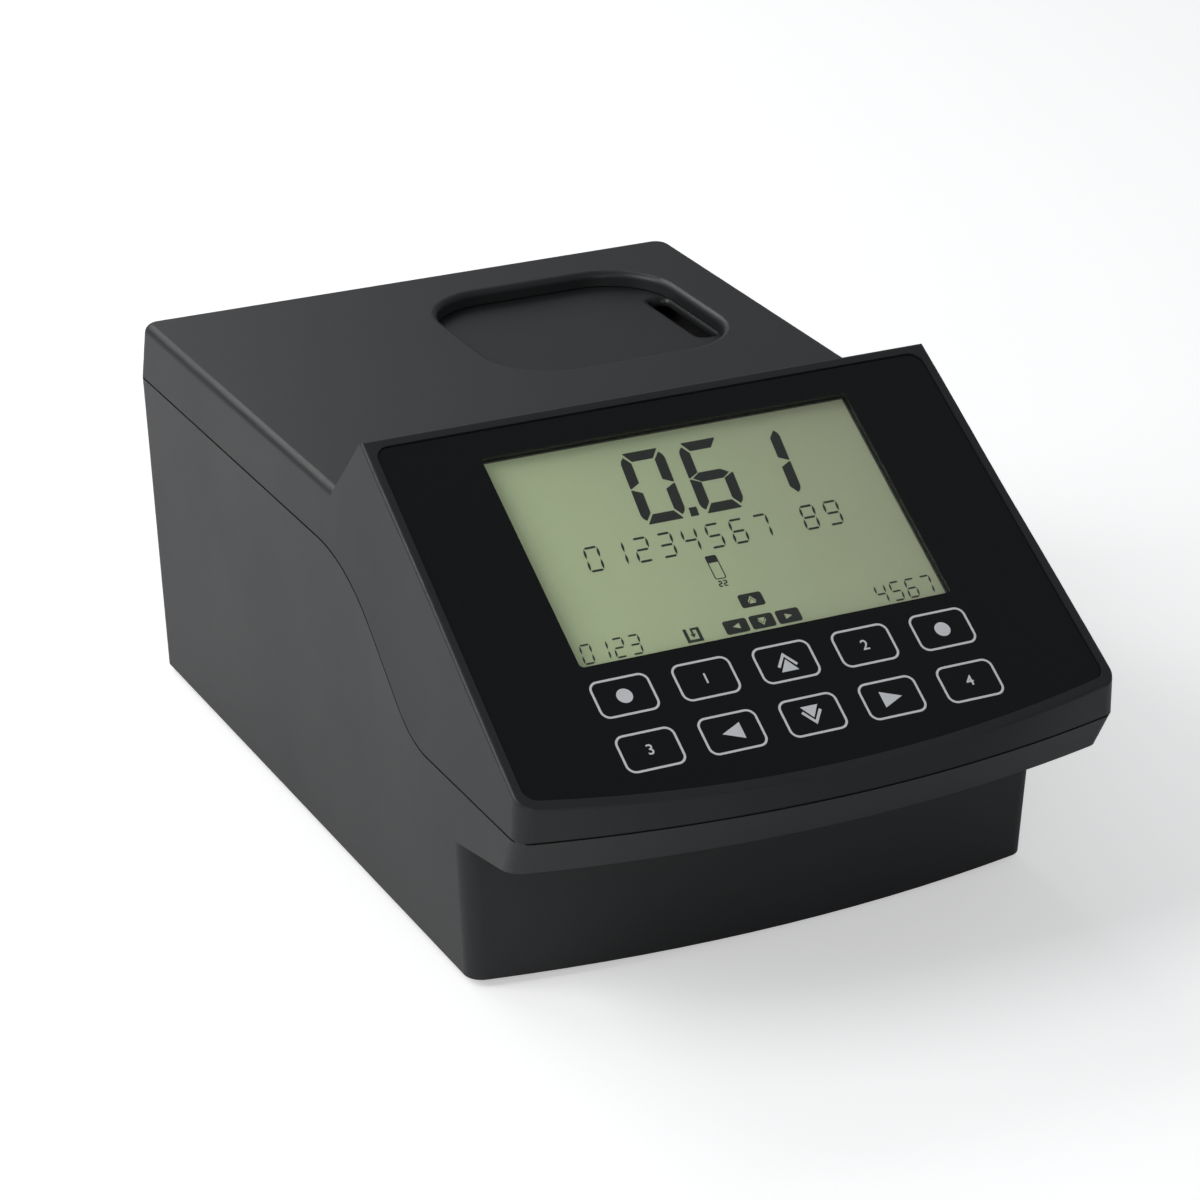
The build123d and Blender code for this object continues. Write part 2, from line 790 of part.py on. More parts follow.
# Cell compartment: well with ports for the light beam, under the track that the cover slides in
track_middle_x = (track_left_x + track_right_x) / 2
track_width = track_right_x - track_left_x
track_bottom_z = track_floor_z - track_floor_thickness
with BuildPart() as cell_compartment:
    with BuildSketch(Plane.XY.offset(track_bottom_z)):
        with Locations((track_middle_x, recess_y)):
            Rectangle(track_width + 2 * track_wall, 2 * (track_half_length + track_wall))
    extrude(amount=deck_z - wall - track_bottom_z)
    with BuildSketch(Plane.XY.offset(track_floor_z)):
        with Locations((track_middle_x, recess_y)):
            Rectangle(track_width, 2 * track_half_length)
    extrude(amount=deck_z - wall - track_floor_z, mode=Mode.SUBTRACT)
    # rails that carry the cover's long edges
    with BuildSketch(Plane.XY.offset(track_floor_z)):
        with Locations(
            (track_middle_x, recess_y - track_half_length + rail_width / 2),
            (track_middle_x, recess_y + track_half_length - rail_width / 2),
        ):
            Rectangle(track_width, rail_width)
    extrude(amount=cover_bottom_z - track_floor_z)
    # well that stands on the bench
    with BuildSketch(Plane.XY.offset(bench_top_z)):
        with Locations((recess_x, recess_y)):
            RectangleRounded(well_outer, well_outer, well_corner_radius)
    extrude(amount=track_floor_z - bench_top_z)
    with BuildSketch(Plane.XY.offset(bench_top_z + well_wall)):
        with Locations((recess_x, recess_y)):
            RectangleRounded(well_inner, well_inner, well_corner_radius - well_wall)
    extrude(amount=track_floor_z - bench_top_z, mode=Mode.SUBTRACT)
    with BuildSketch(Plane.YZ.offset(recess_x)):
        with Locations((recess_y, beam_z)):
            Circle(beam_port_radius)
    extrude(amount=well_outer, both=True, mode=Mode.SUBTRACT)

# Cell holder: block that drops into the well and takes a round cell
holder_base_z = bench_top_z + well_wall
holder_size = well_inner - 2 * holder_fit
with BuildPart() as cell_holder:
    with BuildSketch(Plane.XY.offset(holder_base_z)):
        with Locations((recess_x, recess_y)):
            RectangleRounded(holder_size, holder_size, well_corner_radius - well_wall)
    extrude(amount=holder_height)
    with BuildSketch(Plane.XY.offset(holder_base_z + holder_floor)):
        with Locations((recess_x, recess_y)):
            Circle(cell_radius + cell_clearance)
    extrude(amount=holder_height, mode=Mode.SUBTRACT)
    mouth = cell_holder.edges().filter_by(GeomType.CIRCLE).group_by(Axis.Z)[-1].filter_by(
        lambda e: e.radius > cell_radius
    )
    chamfer(mouth, holder_chamfer)
    with BuildSketch(Plane.YZ.offset(recess_x)):
        with Locations((recess_y, beam_z)):
            Circle(beam_port_radius)
    extrude(amount=holder_size, both=True, mode=Mode.SUBTRACT)

# Optical bench plate on its posts
with BuildPart() as optical_bench:
    with BuildSketch(Plane.XY.offset(bench_underside_z)):
        with Locations((0, (bench_front_y + bench_rear_y) / 2)):
            RectangleRounded(2 * bench_half_width, bench_rear_y - bench_front_y, bench_corner_radius)
        with Locations(*bench_screw_places):
            Circle(screw_radius + fixed_clearance, mode=Mode.SUBTRACT)
        with Locations((grating_x, grating_y)):
            Circle(bush_radius, mode=Mode.SUBTRACT)
        with Locations((pinion_x, pinion_y)):
            Circle(motor_boss_radius + fixed_clearance, mode=Mode.SUBTRACT)
        with Locations((lamp_house_x, lamp_house_y)):
            inner = lamp_house_size - 2 * lamp_house_wall
            Rectangle(inner, inner, mode=Mode.SUBTRACT)
    extrude(amount=bench_thickness)

with BuildPart() as bench_screws:
    with BuildSketch(Plane.XY.offset(bench_top_z)):
        with Locations(*bench_screw_places):
            Circle(screw_head_radius)
    extrude(amount=screw_head_height)
    with BuildSketch(Plane.XY.offset(bench_top_z)):
        with Locations(*bench_screw_places):
            Circle(screw_radius)
    extrude(amount=-bench_thickness)


def involute_half_angle(teeth, radius):
    """Half of a tooth's angle at a radius: an involute of the base circle, thinned by the backlash."""
    pitch_radius = gear_module * teeth / 2
    base_radius = pitch_radius * math.cos(math.radians(pressure_angle))
    roll = math.acos(min(1.0, base_radius / radius))
    pitch_roll = math.radians(pressure_angle)
    involute_here = math.tan(roll) - roll
    involute_pitch = math.tan(pitch_roll) - pitch_roll
    half_at_pitch = math.pi / (2 * teeth) - gear_backlash / (4 * pitch_radius)
    return half_at_pitch + involute_pitch - involute_here


def gear_tooth(teeth):
    """One involute tooth on the +X side of a gear centred on the sketch's origin."""
    pitch_radius = gear_module * teeth / 2
    base_radius = pitch_radius * math.cos(math.radians(pressure_angle))
    root_radius = pitch_radius - 1.25 * gear_module
    tip_radius = pitch_radius + gear_module
    start_radius = max(base_radius, root_radius)
    flank = []
    for step in range(4):
        radius = start_radius + (tip_radius - start_radius) * step / 3
        angle = involute_half_angle(teeth, radius)
        flank.append((radius * math.cos(angle), radius * math.sin(angle)))
    mirrored = [(x, -y) for x, y in flank]
    inner = root_radius - gear_module / 2
    low_angle = involute_half_angle(teeth, start_radius)
    foot = (inner * math.cos(low_angle), inner * math.sin(low_angle))
    with BuildSketch() as tooth:
        with BuildLine():
            Spline(*flank)
            Line(flank[-1], mirrored[-1])
            Spline(*mirrored)
            Polyline(flank[0], foot, (foot[0], -foot[1]), mirrored[0])
        make_face()
    return tooth.sketch


# Sector gear, hub, table and shaft that carry the grating
sector_root = gear_module * (sector_teeth / 2 - 1.25)
pinion_root = gear_module * (pinion_teeth / 2 - 1.25)
sector_pitch_angle = 360 / sector_teeth
sector_tooth_count = int(2 * sector_half_angle / sector_pitch_angle) // 2 * 2 - 1
sector_axis = Plane(origin=(grating_x, grating_y, gear_base_z), x_dir=(0, -1, 0), z_dir=(0, 0, 1))
sector_tooth = gear_tooth(sector_teeth)
with BuildPart() as grating_table:
    with BuildSketch(sector_axis):
        with BuildLine():
            CenterArc((0, 0), sector_root, -sector_half_angle, 2 * sector_half_angle)
            sector_edge = sector_root * math.cos(math.radians(sector_half_angle))
            sector_rise = sector_root * math.sin(math.radians(sector_half_angle))
            Polyline((sector_edge, sector_rise), (0, 0), (sector_edge, -sector_rise))
        make_face()
        first_turn = -(sector_tooth_count - 1) / 2 * sector_pitch_angle
        for number in range(sector_tooth_count):
            add(sector_tooth.rotate(Axis.Z, first_turn + number * sector_pitch_angle))
        Circle(sector_hub_radius)
    extrude(amount=gear_width)
    with BuildSketch(sector_axis.offset(gear_width)):
        Circle(table_radius)
    extrude(amount=table_thickness)
    with BuildSketch(Plane.XY.offset(bench_underside_z - 4)):
        with Locations((grating_x, grating_y)):
            Circle(grating_shaft_radius)
    extrude(amount=gear_base_z - bench_underside_z + 4)

table_top_z = gear_base_z + gear_width + table_thickness
with BuildPart() as grating:
    with BuildSketch(Plane.XY.offset(table_top_z)):
        with Locations((grating_x - grating_thickness / 2, grating_y)):
            Rectangle(grating_thickness, grating_width)
        with Locations((grating_x + grating_curve_radius - 1.2, grating_y)):
            Circle(grating_curve_radius, mode=Mode.SUBTRACT)
    extrude(amount=grating_height)

with BuildPart() as grating_bush:
    with BuildSketch(Plane.XY.offset(bench_underside_z)):
        with Locations((grating_x, grating_y)):
            Circle(bush_radius)
    extrude(amount=bench_thickness)
    with BuildSketch(Plane.XY.offset(bench_top_z)):
        with Locations((grating_x, grating_y)):
            Circle(bush_flange_radius)
    extrude(amount=bush_flange_thickness)
    with BuildSketch(Plane.XY.offset(bench_underside_z)):
        with Locations((grating_x, grating_y)):
            Circle(grating_shaft_radius + running_clearance)
    extrude(amount=2 * bench_thickness, mode=Mode.SUBTRACT)

# Pinion on the motor's shaft, turned so that a gap faces the sector's middle tooth
pinion_axis = Plane(origin=(pinion_x, pinion_y, gear_base_z), x_dir=(0, 1, 0), z_dir=(0, 0, 1))
pinion_tooth = gear_tooth(pinion_teeth)
with BuildPart() as motor_pinion:
    with BuildSketch(pinion_axis.offset((gear_width - pinion_width) / 2)):
        Circle(pinion_root)
        for number in range(pinion_teeth):
            add(pinion_tooth.rotate(Axis.Z, (number + 0.5) * 360 / pinion_teeth))
    extrude(amount=pinion_width)
    with BuildSketch(Plane.XY.offset(bench_underside_z - motor_height / 2)):
        with Locations((pinion_x, pinion_y)):
            Circle(pinion_shaft_radius)
    extrude(amount=gear_base_z - bench_underside_z + motor_height / 2)

with BuildPart() as stepper_motor:
    with BuildSketch(Plane.XY.offset(bench_underside_z)):
        with Locations((pinion_x, pinion_y)):
            RectangleRounded(motor_size, motor_size, motor_corner_radius)
    extrude(amount=-motor_height)
    with BuildSketch(Plane.XY.offset(bench_underside_z)):
        with Locations((pinion_x, pinion_y)):
            Circle(motor_boss_radius)
    extrude(amount=bench_thickness)
    with BuildSketch(Plane.XY.offset(bench_top_z)):
        with Locations((pinion_x, pinion_y)):
            Circle(pinion_shaft_radius + running_clearance)
    extrude(amount=-(bench_thickness + motor_height / 2 + 1), mode=Mode.SUBTRACT)

# Lamp house with cooling fins, open below for changing the lamp
light_turn = math.degrees(math.atan2(grating_y - lamp_house_y, grating_x - lamp_house_x))
with BuildPart() as lamp_house:
    with BuildSketch(Plane.XY.offset(bench_top_z)):
        with Locations((lamp_house_x, lamp_house_y)):
            Rectangle(lamp_house_size, lamp_house_size)
    extrude(amount=lamp_house_height)
    with BuildSketch(Plane.XY.offset(bench_top_z)):
        with Locations((lamp_house_x, lamp_house_y)):
            inner = lamp_house_size - 2 * lamp_house_wall
            Rectangle(inner, inner)
    extrude(amount=lamp_house_height - lamp_house_wall, mode=Mode.SUBTRACT)
    with BuildSketch(Plane.XY.offset(bench_top_z + lamp_house_height)):
        with Locations((lamp_house_x, lamp_house_y)):
            with GridLocations(lamp_house_size / lamp_fin_count, 1, lamp_fin_count, 1):
                Rectangle(lamp_house_wall, lamp_house_size)
    extrude(amount=6)
    with BuildSketch(Plane(origin=(lamp_house_x, lamp_house_y, beam_z), x_dir=(0, 0, 1),
                           z_dir=(math.cos(math.radians(light_turn)), math.sin(math.radians(light_turn)), 0))):
        Circle(lens_radius - 2)
    extrude(amount=lamp_house_size, mode=Mode.SUBTRACT)

# Lamp on its base across the lamp house
lamp_seat_z = beam_z - lamp_length / 2
with BuildPart() as lamp:
    with BuildSketch(Plane.XY.offset(foot_height + door_thickness)):
        with Locations((lamp_house_x, lamp_house_y)):
            Circle(lamp_base_radius)
    extrude(amount=lamp_seat_z - foot_height - door_thickness)
    with BuildSketch(Plane.XY.offset(lamp_seat_z)):
        with Locations((lamp_house_x, lamp_house_y)):
            Circle(lamp_radius)
    extrude(amount=lamp_length)
    fillet(lamp.edges().group_by(Axis.Z)[-1], lamp_radius - 0.5)


def beam_plane(distance):
    """Upright plane across the light path from the lamp to the grating, standing on the bench."""
    turn = math.radians(light_turn)
    return Plane(
        origin=(lamp_house_x + distance * math.cos(turn), lamp_house_y + distance * math.sin(turn), bench_top_z),
        x_dir=(-math.sin(turn), math.cos(turn), 0),
        z_dir=(math.cos(turn), math.sin(turn), 0),
    )


def slit_plate(plane, width, height):
    """Bent plate that stands on the bench with an upright slit at the height of the beam."""
    with BuildPart() as plate:
        with BuildSketch(plane):
            with Locations((0, slit_plate_height / 2)):
                Rectangle(slit_plate_width, slit_plate_height)
            with Locations((0, beam_z - bench_top_z)):
                Rectangle(width, height, mode=Mode.SUBTRACT)
        extrude(amount=slit_plate_thickness)
        with BuildSketch(plane):
            with Locations((0, slit_plate_thickness / 2)):
                Rectangle(slit_plate_width, slit_plate_thickness)
        extrude(amount=-slit_foot)
    return plate.part


# Condenser lens in its stand
lens_distance = lamp_house_size / 2 + 10
lens_middle = beam_plane(lens_distance).origin + Vector(0, 0, beam_z - bench_top_z)
lens_section = Plane(origin=lens_middle, x_dir=beam_plane(lens_distance).x_dir, z_dir=(0, 0, 1))
lens_half_angle = math.asin(lens_radius / lens_curve_radius)
lens_centre = lens_edge / 2 - lens_curve_radius * math.cos(lens_half_angle)
lens_apex = lens_centre + lens_curve_radius
with BuildPart() as condenser_lens:
    with BuildSketch(lens_section):
        with BuildLine():
            ThreePointArc(
                (lens_radius, lens_edge / 2),
                (
                    lens_curve_radius * math.sin(lens_half_angle / 2),
                    lens_centre + lens_curve_radius * math.cos(lens_half_angle / 2),
                ),
                (0, lens_apex),
            )
            Polyline((0, lens_apex), (0, -lens_edge / 2), (lens_radius, -lens_edge / 2), (lens_radius, lens_edge / 2))
        make_face()
    revolve(axis=Axis(lens_middle, beam_plane(lens_distance).z_dir))

with BuildPart() as lens_stand:
    with BuildSketch(beam_plane(lens_distance)):
        with Locations((0, (beam_z - bench_top_z + lens_radius + 3) / 2)):
            Rectangle(2 * lens_radius + 6, beam_z - bench_top_z + lens_radius + 3)
        with Locations((0, beam_z - bench_top_z)):
            Circle(lens_radius + fixed_clearance, mode=Mode.SUBTRACT)
    extrude(amount=lens_edge / 2, both=True)
    with BuildSketch(beam_plane(lens_distance)):
        with Locations((0, 1)):
            Rectangle(2 * lens_radius + 6, 2)
    extrude(amount=4, both=True)

entrance_slit_plate = slit_plate(beam_plane(lens_distance + 14), slit_width, slit_height)
exit_plane = Plane(origin=(exit_slit_x, grating_y, bench_top_z), x_dir=(0, 1, 0), z_dir=(1, 0, 0))
exit_slit_plate = slit_plate(exit_plane, slit_width, slit_height)

# Detector block against the well's wall
with BuildPart() as detector:
    with BuildSketch(Plane.YZ.offset(recess_x + well_outer / 2)):
        with Locations((recess_y, bench_top_z + detector_height / 2)):
            Rectangle(detector_size, detector_height)
    extrude(amount=detector_depth)
    with BuildSketch(Plane.YZ.offset(recess_x + well_outer / 2)):
        with Locations((recess_y, beam_z)):
            Circle(beam_port_radius)
    extrude(amount=detector_depth / 2, mode=Mode.SUBTRACT)

# Main board with its larger components, and the battery pack
with BuildPart() as main_board:
    with BuildSketch(Plane.XY.offset(main_board_z)):
        with Locations((0, (main_board_front_y + main_board_rear_y) / 2)):
            Rectangle(2 * main_board_half_width, main_board_rear_y - main_board_front_y)
        with Locations(*board_screw_places):
            Circle(screw_radius + fixed_clearance, mode=Mode.SUBTRACT)
    extrude(amount=board_thickness)
with BuildPart() as board_screws:
    with BuildSketch(Plane.XY.offset(main_board_z + board_thickness)):
        with Locations(*board_screw_places):
            Circle(screw_head_radius)
    extrude(amount=screw_head_height)
    with BuildSketch(Plane.XY.offset(main_board_z)):
        with Locations(*board_screw_places):
            Circle(screw_radius)
    extrude(amount=board_thickness)
with BuildPart() as board_components:
    with BuildSketch(Plane.XY.offset(main_board_z + board_thickness)):
        with Locations((-20, -30)):
            Rectangle(24, 24)
        with Locations((18, -34), (18, -14)):
            Rectangle(18, 12)
    extrude(amount=2)
    with BuildSketch(Plane.XY.offset(main_board_z + board_thickness)):
        with Locations((52, -60), (52, -46)):
            Circle(5)
    extrude(amount=12)
with BuildPart() as battery_pack:
    with BuildSketch(Plane.XY.offset(foot_height + door_thickness + 0.2)):
        with Locations((battery_bay_x, battery_bay_y)):
            RectangleRounded(
                battery_bay_width - 2 * (door_ledge + battery_fit), battery_bay_length - 2 * (door_ledge + battery_fit), 3
            )
    extrude(amount=battery_bay_height - foot_height - door_thickness - 0.2)

# Rear switch: bezel with a rocker turning inside it
with BuildPart() as switch_bezel:
    opening_width = rocker_width + 2 * rocker_gap
    opening_height = 2 * (rocker_radius + rocker_gap)
    with BuildSketch(rear_plane(switch_x, rear_field_depth)):
        Rectangle(opening_width + 2 * switch_wall + 3, opening_height + 2 * switch_wall + 3)
    extrude(amount=switch_flange)
    with BuildSketch(rear_plane(switch_x, rear_field_depth)):
        Rectangle(opening_width + 2 * switch_wall - 2 * door_fit, opening_height + 2 * switch_wall - 2 * door_fit)
    extrude(amount=-switch_body_depth)
    with BuildSketch(rear_plane(switch_x, rear_field_depth - switch_flange)):
        Rectangle(opening_width, opening_height)
    extrude(amount=-(switch_body_depth + switch_flange - 1), mode=Mode.SUBTRACT)

rocker_axis_origin = rear_plane(switch_x, rear_field_depth + rocker_pivot_depth).origin
rocker_lean = math.radians(rocker_rest_angle)
with BuildPart() as power_rocker:
    rest = Plane(
        origin=rocker_axis_origin - Vector(rocker_width / 2, 0, 0),
        x_dir=(0, math.sin(rocker_lean), math.cos(rocker_lean)),
        z_dir=(1, 0, 0),
    )
    with BuildSketch(rest):
        Circle(rocker_radius)
        with BuildLine():
            Polyline((-20, 6.4), (0, 4.2), (20, 6.4), (20, 20), (-20, 20), close=True)
        make_face(mode=Mode.SUBTRACT)
    extrude(amount=rocker_width)

# Rear sockets
with BuildPart() as power_socket:
    with BuildSketch(rear_plane(dc_socket_x, rear_field_depth)):
        RectangleRounded(2 * dc_body_radius + 3, 2 * dc_body_radius + 3, 2)
    extrude(amount=socket_flange)
    with BuildSketch(rear_plane(dc_socket_x, rear_field_depth)):
        Circle(dc_body_radius - fixed_clearance)
    extrude(amount=-dc_body_length)
    with BuildSketch(rear_plane(dc_socket_x, rear_field_depth - socket_flange)):
        Circle(dc_bore_radius)
        Circle(dc_pin_radius, mode=Mode.SUBTRACT)
    extrude(amount=-dc_bore_depth, mode=Mode.SUBTRACT)
with BuildPart() as data_socket:
    with BuildSketch(rear_plane(usb_socket_x, rear_field_depth)):
        Rectangle(usb_body_width + 3, usb_body_height + 3)
    extrude(amount=socket_flange)
    with BuildSketch(rear_plane(usb_socket_x, rear_field_depth)):
        Rectangle(usb_body_width - 2 * fixed_clearance, usb_body_height - 2 * fixed_clearance)
    extrude(amount=-usb_body_length)
    with BuildSketch(rear_plane(usb_socket_x, rear_field_depth - socket_flange)):
        Rectangle(usb_port_width, usb_port_height)
        Rectangle(usb_tongue_width, usb_tongue_height, mode=Mode.SUBTRACT)
    extrude(amount=-usb_port_depth, mode=Mode.SUBTRACT)

pieces = {
    "lower_housing": lower_housing.part,
    "upper_housing": upper_housing.part,
    "rubber_feet": rubber_feet.part,
    "battery_door": battery_door.part,
    "lamp_door": lamp_door.part,
    "housing_screws": housing_screws.part,
    "control_panel": control_panel.part,
    "display_window": display_window.part,
    "display_glass": display_glass.part,
    "display_backlight": display_backlight.part,
    "display_tray": display_tray.part,
    "touch_board": touch_board.part,
    "sliding_cover": sliding_cover.part,
    "cell_compartment": cell_compartment.part,
    "cell_holder": cell_holder.part,
    "optical_bench": optical_bench.part,
    "bench_screws": bench_screws.part,
    "grating_table": grating_table.part,
    "grating": grating.part,
    "grating_bush": grating_bush.part,
    "motor_pinion": motor_pinion.part,
    "stepper_motor": stepper_motor.part,
    "lamp_house": lamp_house.part,
    "lamp": lamp.part,
    "condenser_lens": condenser_lens.part,
    "lens_stand": lens_stand.part,
    "entrance_slit": entrance_slit_plate,
    "exit_slit": exit_slit_plate,
    "detector": detector.part,
    "main_board": main_board.part,
    "board_screws": board_screws.part,
    "board_components": board_components.part,
    "battery_pack": battery_pack.part,
    "switch_bezel": switch_bezel.part,
    "power_rocker": power_rocker.part,
    "power_socket": power_socket.part,
    "data_socket": data_socket.part,
}

os.makedirs("parts", exist_ok=True)
for name, piece in pieces.items():
    piece.label = name
    export_step(piece, f"parts/{name}.step")
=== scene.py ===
import math

import bpy
import numpy as np
from mathutils import Matrix, Vector


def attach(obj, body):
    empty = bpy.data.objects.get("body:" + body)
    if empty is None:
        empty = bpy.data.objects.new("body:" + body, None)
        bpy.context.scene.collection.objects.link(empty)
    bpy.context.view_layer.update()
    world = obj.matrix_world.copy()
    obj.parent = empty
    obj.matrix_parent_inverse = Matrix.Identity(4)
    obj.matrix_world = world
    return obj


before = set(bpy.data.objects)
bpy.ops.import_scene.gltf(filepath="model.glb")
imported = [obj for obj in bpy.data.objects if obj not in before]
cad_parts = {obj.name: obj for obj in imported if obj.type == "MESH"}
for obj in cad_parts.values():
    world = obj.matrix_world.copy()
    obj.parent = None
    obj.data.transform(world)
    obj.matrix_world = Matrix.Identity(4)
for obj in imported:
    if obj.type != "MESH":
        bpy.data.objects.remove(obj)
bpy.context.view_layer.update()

bl_info = {
    "name": "Spectrophotometer looks",
    "version": (1, 0, 0),
    "blender": (4, 5, 0),
    "location": "View3D > Sidebar > Photometer",
    "description": "Finishes, printed keys, display content and a studio for a benchtop spectrophotometer",
    "category": "Object",
}

MM = 0.001

# The console's plane, as the model has it: its back edge, its slope and its levels along the normal
CONSOLE_TILT = math.radians(30.9)
CONSOLE_ORIGIN = np.array((0.0, -29.0, 153.0)) * MM
ACROSS = np.array((1.0, 0.0, 0.0))
DOWN = np.array((0.0, -math.cos(CONSOLE_TILT), -math.sin(CONSOLE_TILT)))
NORMAL = np.array((0.0, -math.sin(CONSOLE_TILT), math.cos(CONSOLE_TILT)))
SHEET_LEVEL = -0.6
GLASS_LEVEL = -4.5

# Rows of the touch keys and of the display's figures, in millimetres down the slope
FIRST_KEY_ROW = 107.8
SECOND_KEY_ROW = 127.9
READING_TOP = 19.4
TEXT_ROW_TOP = 51.1
SYMBOL_ROW = 67.5
CELL_NUMBER_TOP = 72.5
UPPER_TILE_ROW = 81.5
LOWER_TILE_ROW = 89.8
FOOT_ROW_TOP = 85.2

# How far the key print and the display's bars sink into what carries them, in millimetres
PRINT_SINK = 0.02
BAR_SINK = 0.01

# Camera: place in millimetres, and yaw, pitch and roll in degrees, found from the photograph
CAMERA_PLACE = (-560.34, -1128.80, 630.24)
CAMERA_ANGLES = (26.274, 24.001, 0.106)
CAMERA_LENS = 125.77
CAMERA_SENSOR = 36.0

# Studio, in metres
FLOOR_REACH = 4.0
FLOOR_SWEEP_START = 2.6
FLOOR_SWEEP_RISE = 0.5
FLOOR_DROP = 0.0001
FLOOR_GLOW = 0.45
WORLD_STRENGTH = 0.28


def linear(colour):
    """An sRGB colour written as #rrggbb, turned into linear red, green, blue and alpha."""
    parts = np.array([int(colour[place:place + 2], 16) for place in (1, 3, 5)]) / 255
    straight = np.where(parts <= 0.04045, parts / 12.92, ((parts + 0.055) / 1.055) ** 2.4)
    return (*straight.tolist(), 1.0)


def node(tree, kind, inputs=None, **settings):
    """Adds one node: settings are its own values, inputs are socket values or sockets to link from."""
    made = tree.nodes.new(kind)
    for name, value in settings.items():
        setattr(made, name, value)
    for name, value in (inputs or {}).items():
        if isinstance(value, bpy.types.NodeSocket):
            tree.links.new(value, made.inputs[name])
        else:
            made.inputs[name].default_value = value
    return made


def blank(name):
    """A material with an empty node tree and an output, ready for its shader."""
    material = bpy.data.materials.new(name)
    material.use_nodes = True
    material.node_tree.nodes.clear()
    return material, material.node_tree, node(material.node_tree, "ShaderNodeOutputMaterial")


def finish(name, dark, light, patch, roughness, spread, grain, relief, stretch=(1, 1, 1), **sockets):
    """
    The finish most pieces share. The colour wanders between two tones over patches, the roughness
    wanders with it by the spread, and a fine grain lifts the surface by the relief. Patch, grain and
    relief are in millimetres; stretch draws the pattern out along an axis, as a tool or a brush does.
    """
    material, tree, output = blank(name)
    place = node(tree, "ShaderNodeTexCoord").outputs["Object"]
    drawn = node(tree, "ShaderNodeMapping", {"Vector": place, "Scale": stretch}).outputs["Vector"]
    patches = node(tree, "ShaderNodeTexNoise", {
        "Vector": drawn, "Scale": 1 / (patch * MM), "Detail": 4.0, "Roughness": 0.55})
    tone = node(tree, "ShaderNodeMix", {
        "Factor": patches.outputs["Fac"], "A": linear(dark), "B": linear(light)}, data_type="RGBA")
    dull = node(tree, "ShaderNodeMapRange", {
        "Value": patches.outputs["Fac"], "From Min": 0.3, "From Max": 0.7,
        "To Min": roughness - spread, "To Max": roughness + spread})
    fine = node(tree, "ShaderNodeTexNoise", {
        "Vector": drawn, "Scale": 1 / (grain * MM), "Detail": 3.0, "Roughness": 0.6})
    bump = node(tree, "ShaderNodeBump", {
        "Height": fine.outputs["Fac"], "Distance": relief * MM, "Strength": 1.0})
    shader = node(tree, "ShaderNodeBsdfPrincipled", {
        "Base Color": tone.outputs[2], "Roughness": dull.outputs["Result"],
        "Normal": bump.outputs["Normal"], **sockets})
    tree.links.new(shader.outputs[0], output.inputs["Surface"])
    return material


def dress(names, material):
    """Gives CAD nodes their material through the slots of their objects."""
    for name in names:
        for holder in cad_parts[name].material_slots:
            holder.link = "OBJECT"
            holder.material = material


def on_console(across, down, height):
    """A place on the console in metres: so far across, down its slope and along its normal, in mm."""
    across, down, height = np.broadcast_arrays(across, down, height)
    steps = across[..., None] * ACROSS + down[..., None] * DOWN + height[..., None] * NORMAL
    return CONSOLE_ORIGIN + MM * steps


def grid_faces(rows, columns, wrap_rows, wrap_columns):
    """One quad for each cell of a grid of points; a wrapped direction is joined back to its start."""
    row = np.arange(rows if wrap_rows else rows - 1)
    column = np.arange(columns if wrap_columns else columns - 1)
    row, column = (side.ravel() for side in np.meshgrid(row, column, indexing="ij"))
    next_row, next_column = (row + 1) % rows, (column + 1) % columns
    corners = (row * columns + column, next_row * columns + column,
               next_row * columns + next_column, row * columns + next_column)
    return np.stack(corners, -1)


def piece(name, parts, material, body):
    """Joins parts, each an array of points and a list of faces, in one object that rides on a body."""
    starts = np.cumsum([0] + [len(points) for points, _ in parts[:-1]])
    points = np.concatenate([points for points, _ in parts])
    faces = [[int(corner + start) for corner in face]
             for start, (_, part_faces) in zip(starts, parts) for face in part_faces]
    mesh = bpy.data.meshes.new(name)
    mesh.from_pydata(points.tolist(), [], faces)
    mesh.materials.append(material)
    mesh.update()
    made = bpy.data.objects.new(name, mesh)
    bpy.context.scene.collection.objects.link(made)
    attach(made, body)
    return made


def raised(outline, low, high):
    """A thin plate on the console: its outline at two levels, a face on each, and a quad per side."""
    outline = np.asarray(outline, float)
    after = np.roll(outline, -1, 0)
    if np.sum(outline[:, 0] * after[:, 1] - after[:, 0] * outline[:, 1]) > 0:
        outline = outline[::-1]
    count = len(outline)
    points = on_console(outline[:, 0], outline[:, 1], np.array([[low], [high]])).reshape(-1, 3)
    ring = np.arange(count)
    following = np.roll(ring, -1)
    walls = np.stack([ring, following, count + following, count + ring], -1)
    return points, [count + ring, ring[::-1], *walls]


def rounded(across, down, width, length, radius, steps=10):
    """Outline of a rectangle with round corners: each corner is a quarter turn about its own centre."""
    turn = np.linspace(0, 2 * math.pi, 4 * steps, endpoint=False) + math.pi / (4 * steps)
    side = np.sign(np.stack([np.cos(turn), np.sin(turn)], -1))
    quarter = np.floor(turn / (math.pi / 2)) * math.pi / 2
    inside = (turn - quarter - math.pi / (4 * steps)) / (1 - 1 / steps) + quarter
    centre = side * (np.array((width, length)) / 2 - radius)
    return np.array((across, down)) + centre + radius * np.stack([np.cos(inside), np.sin(inside)], -1)


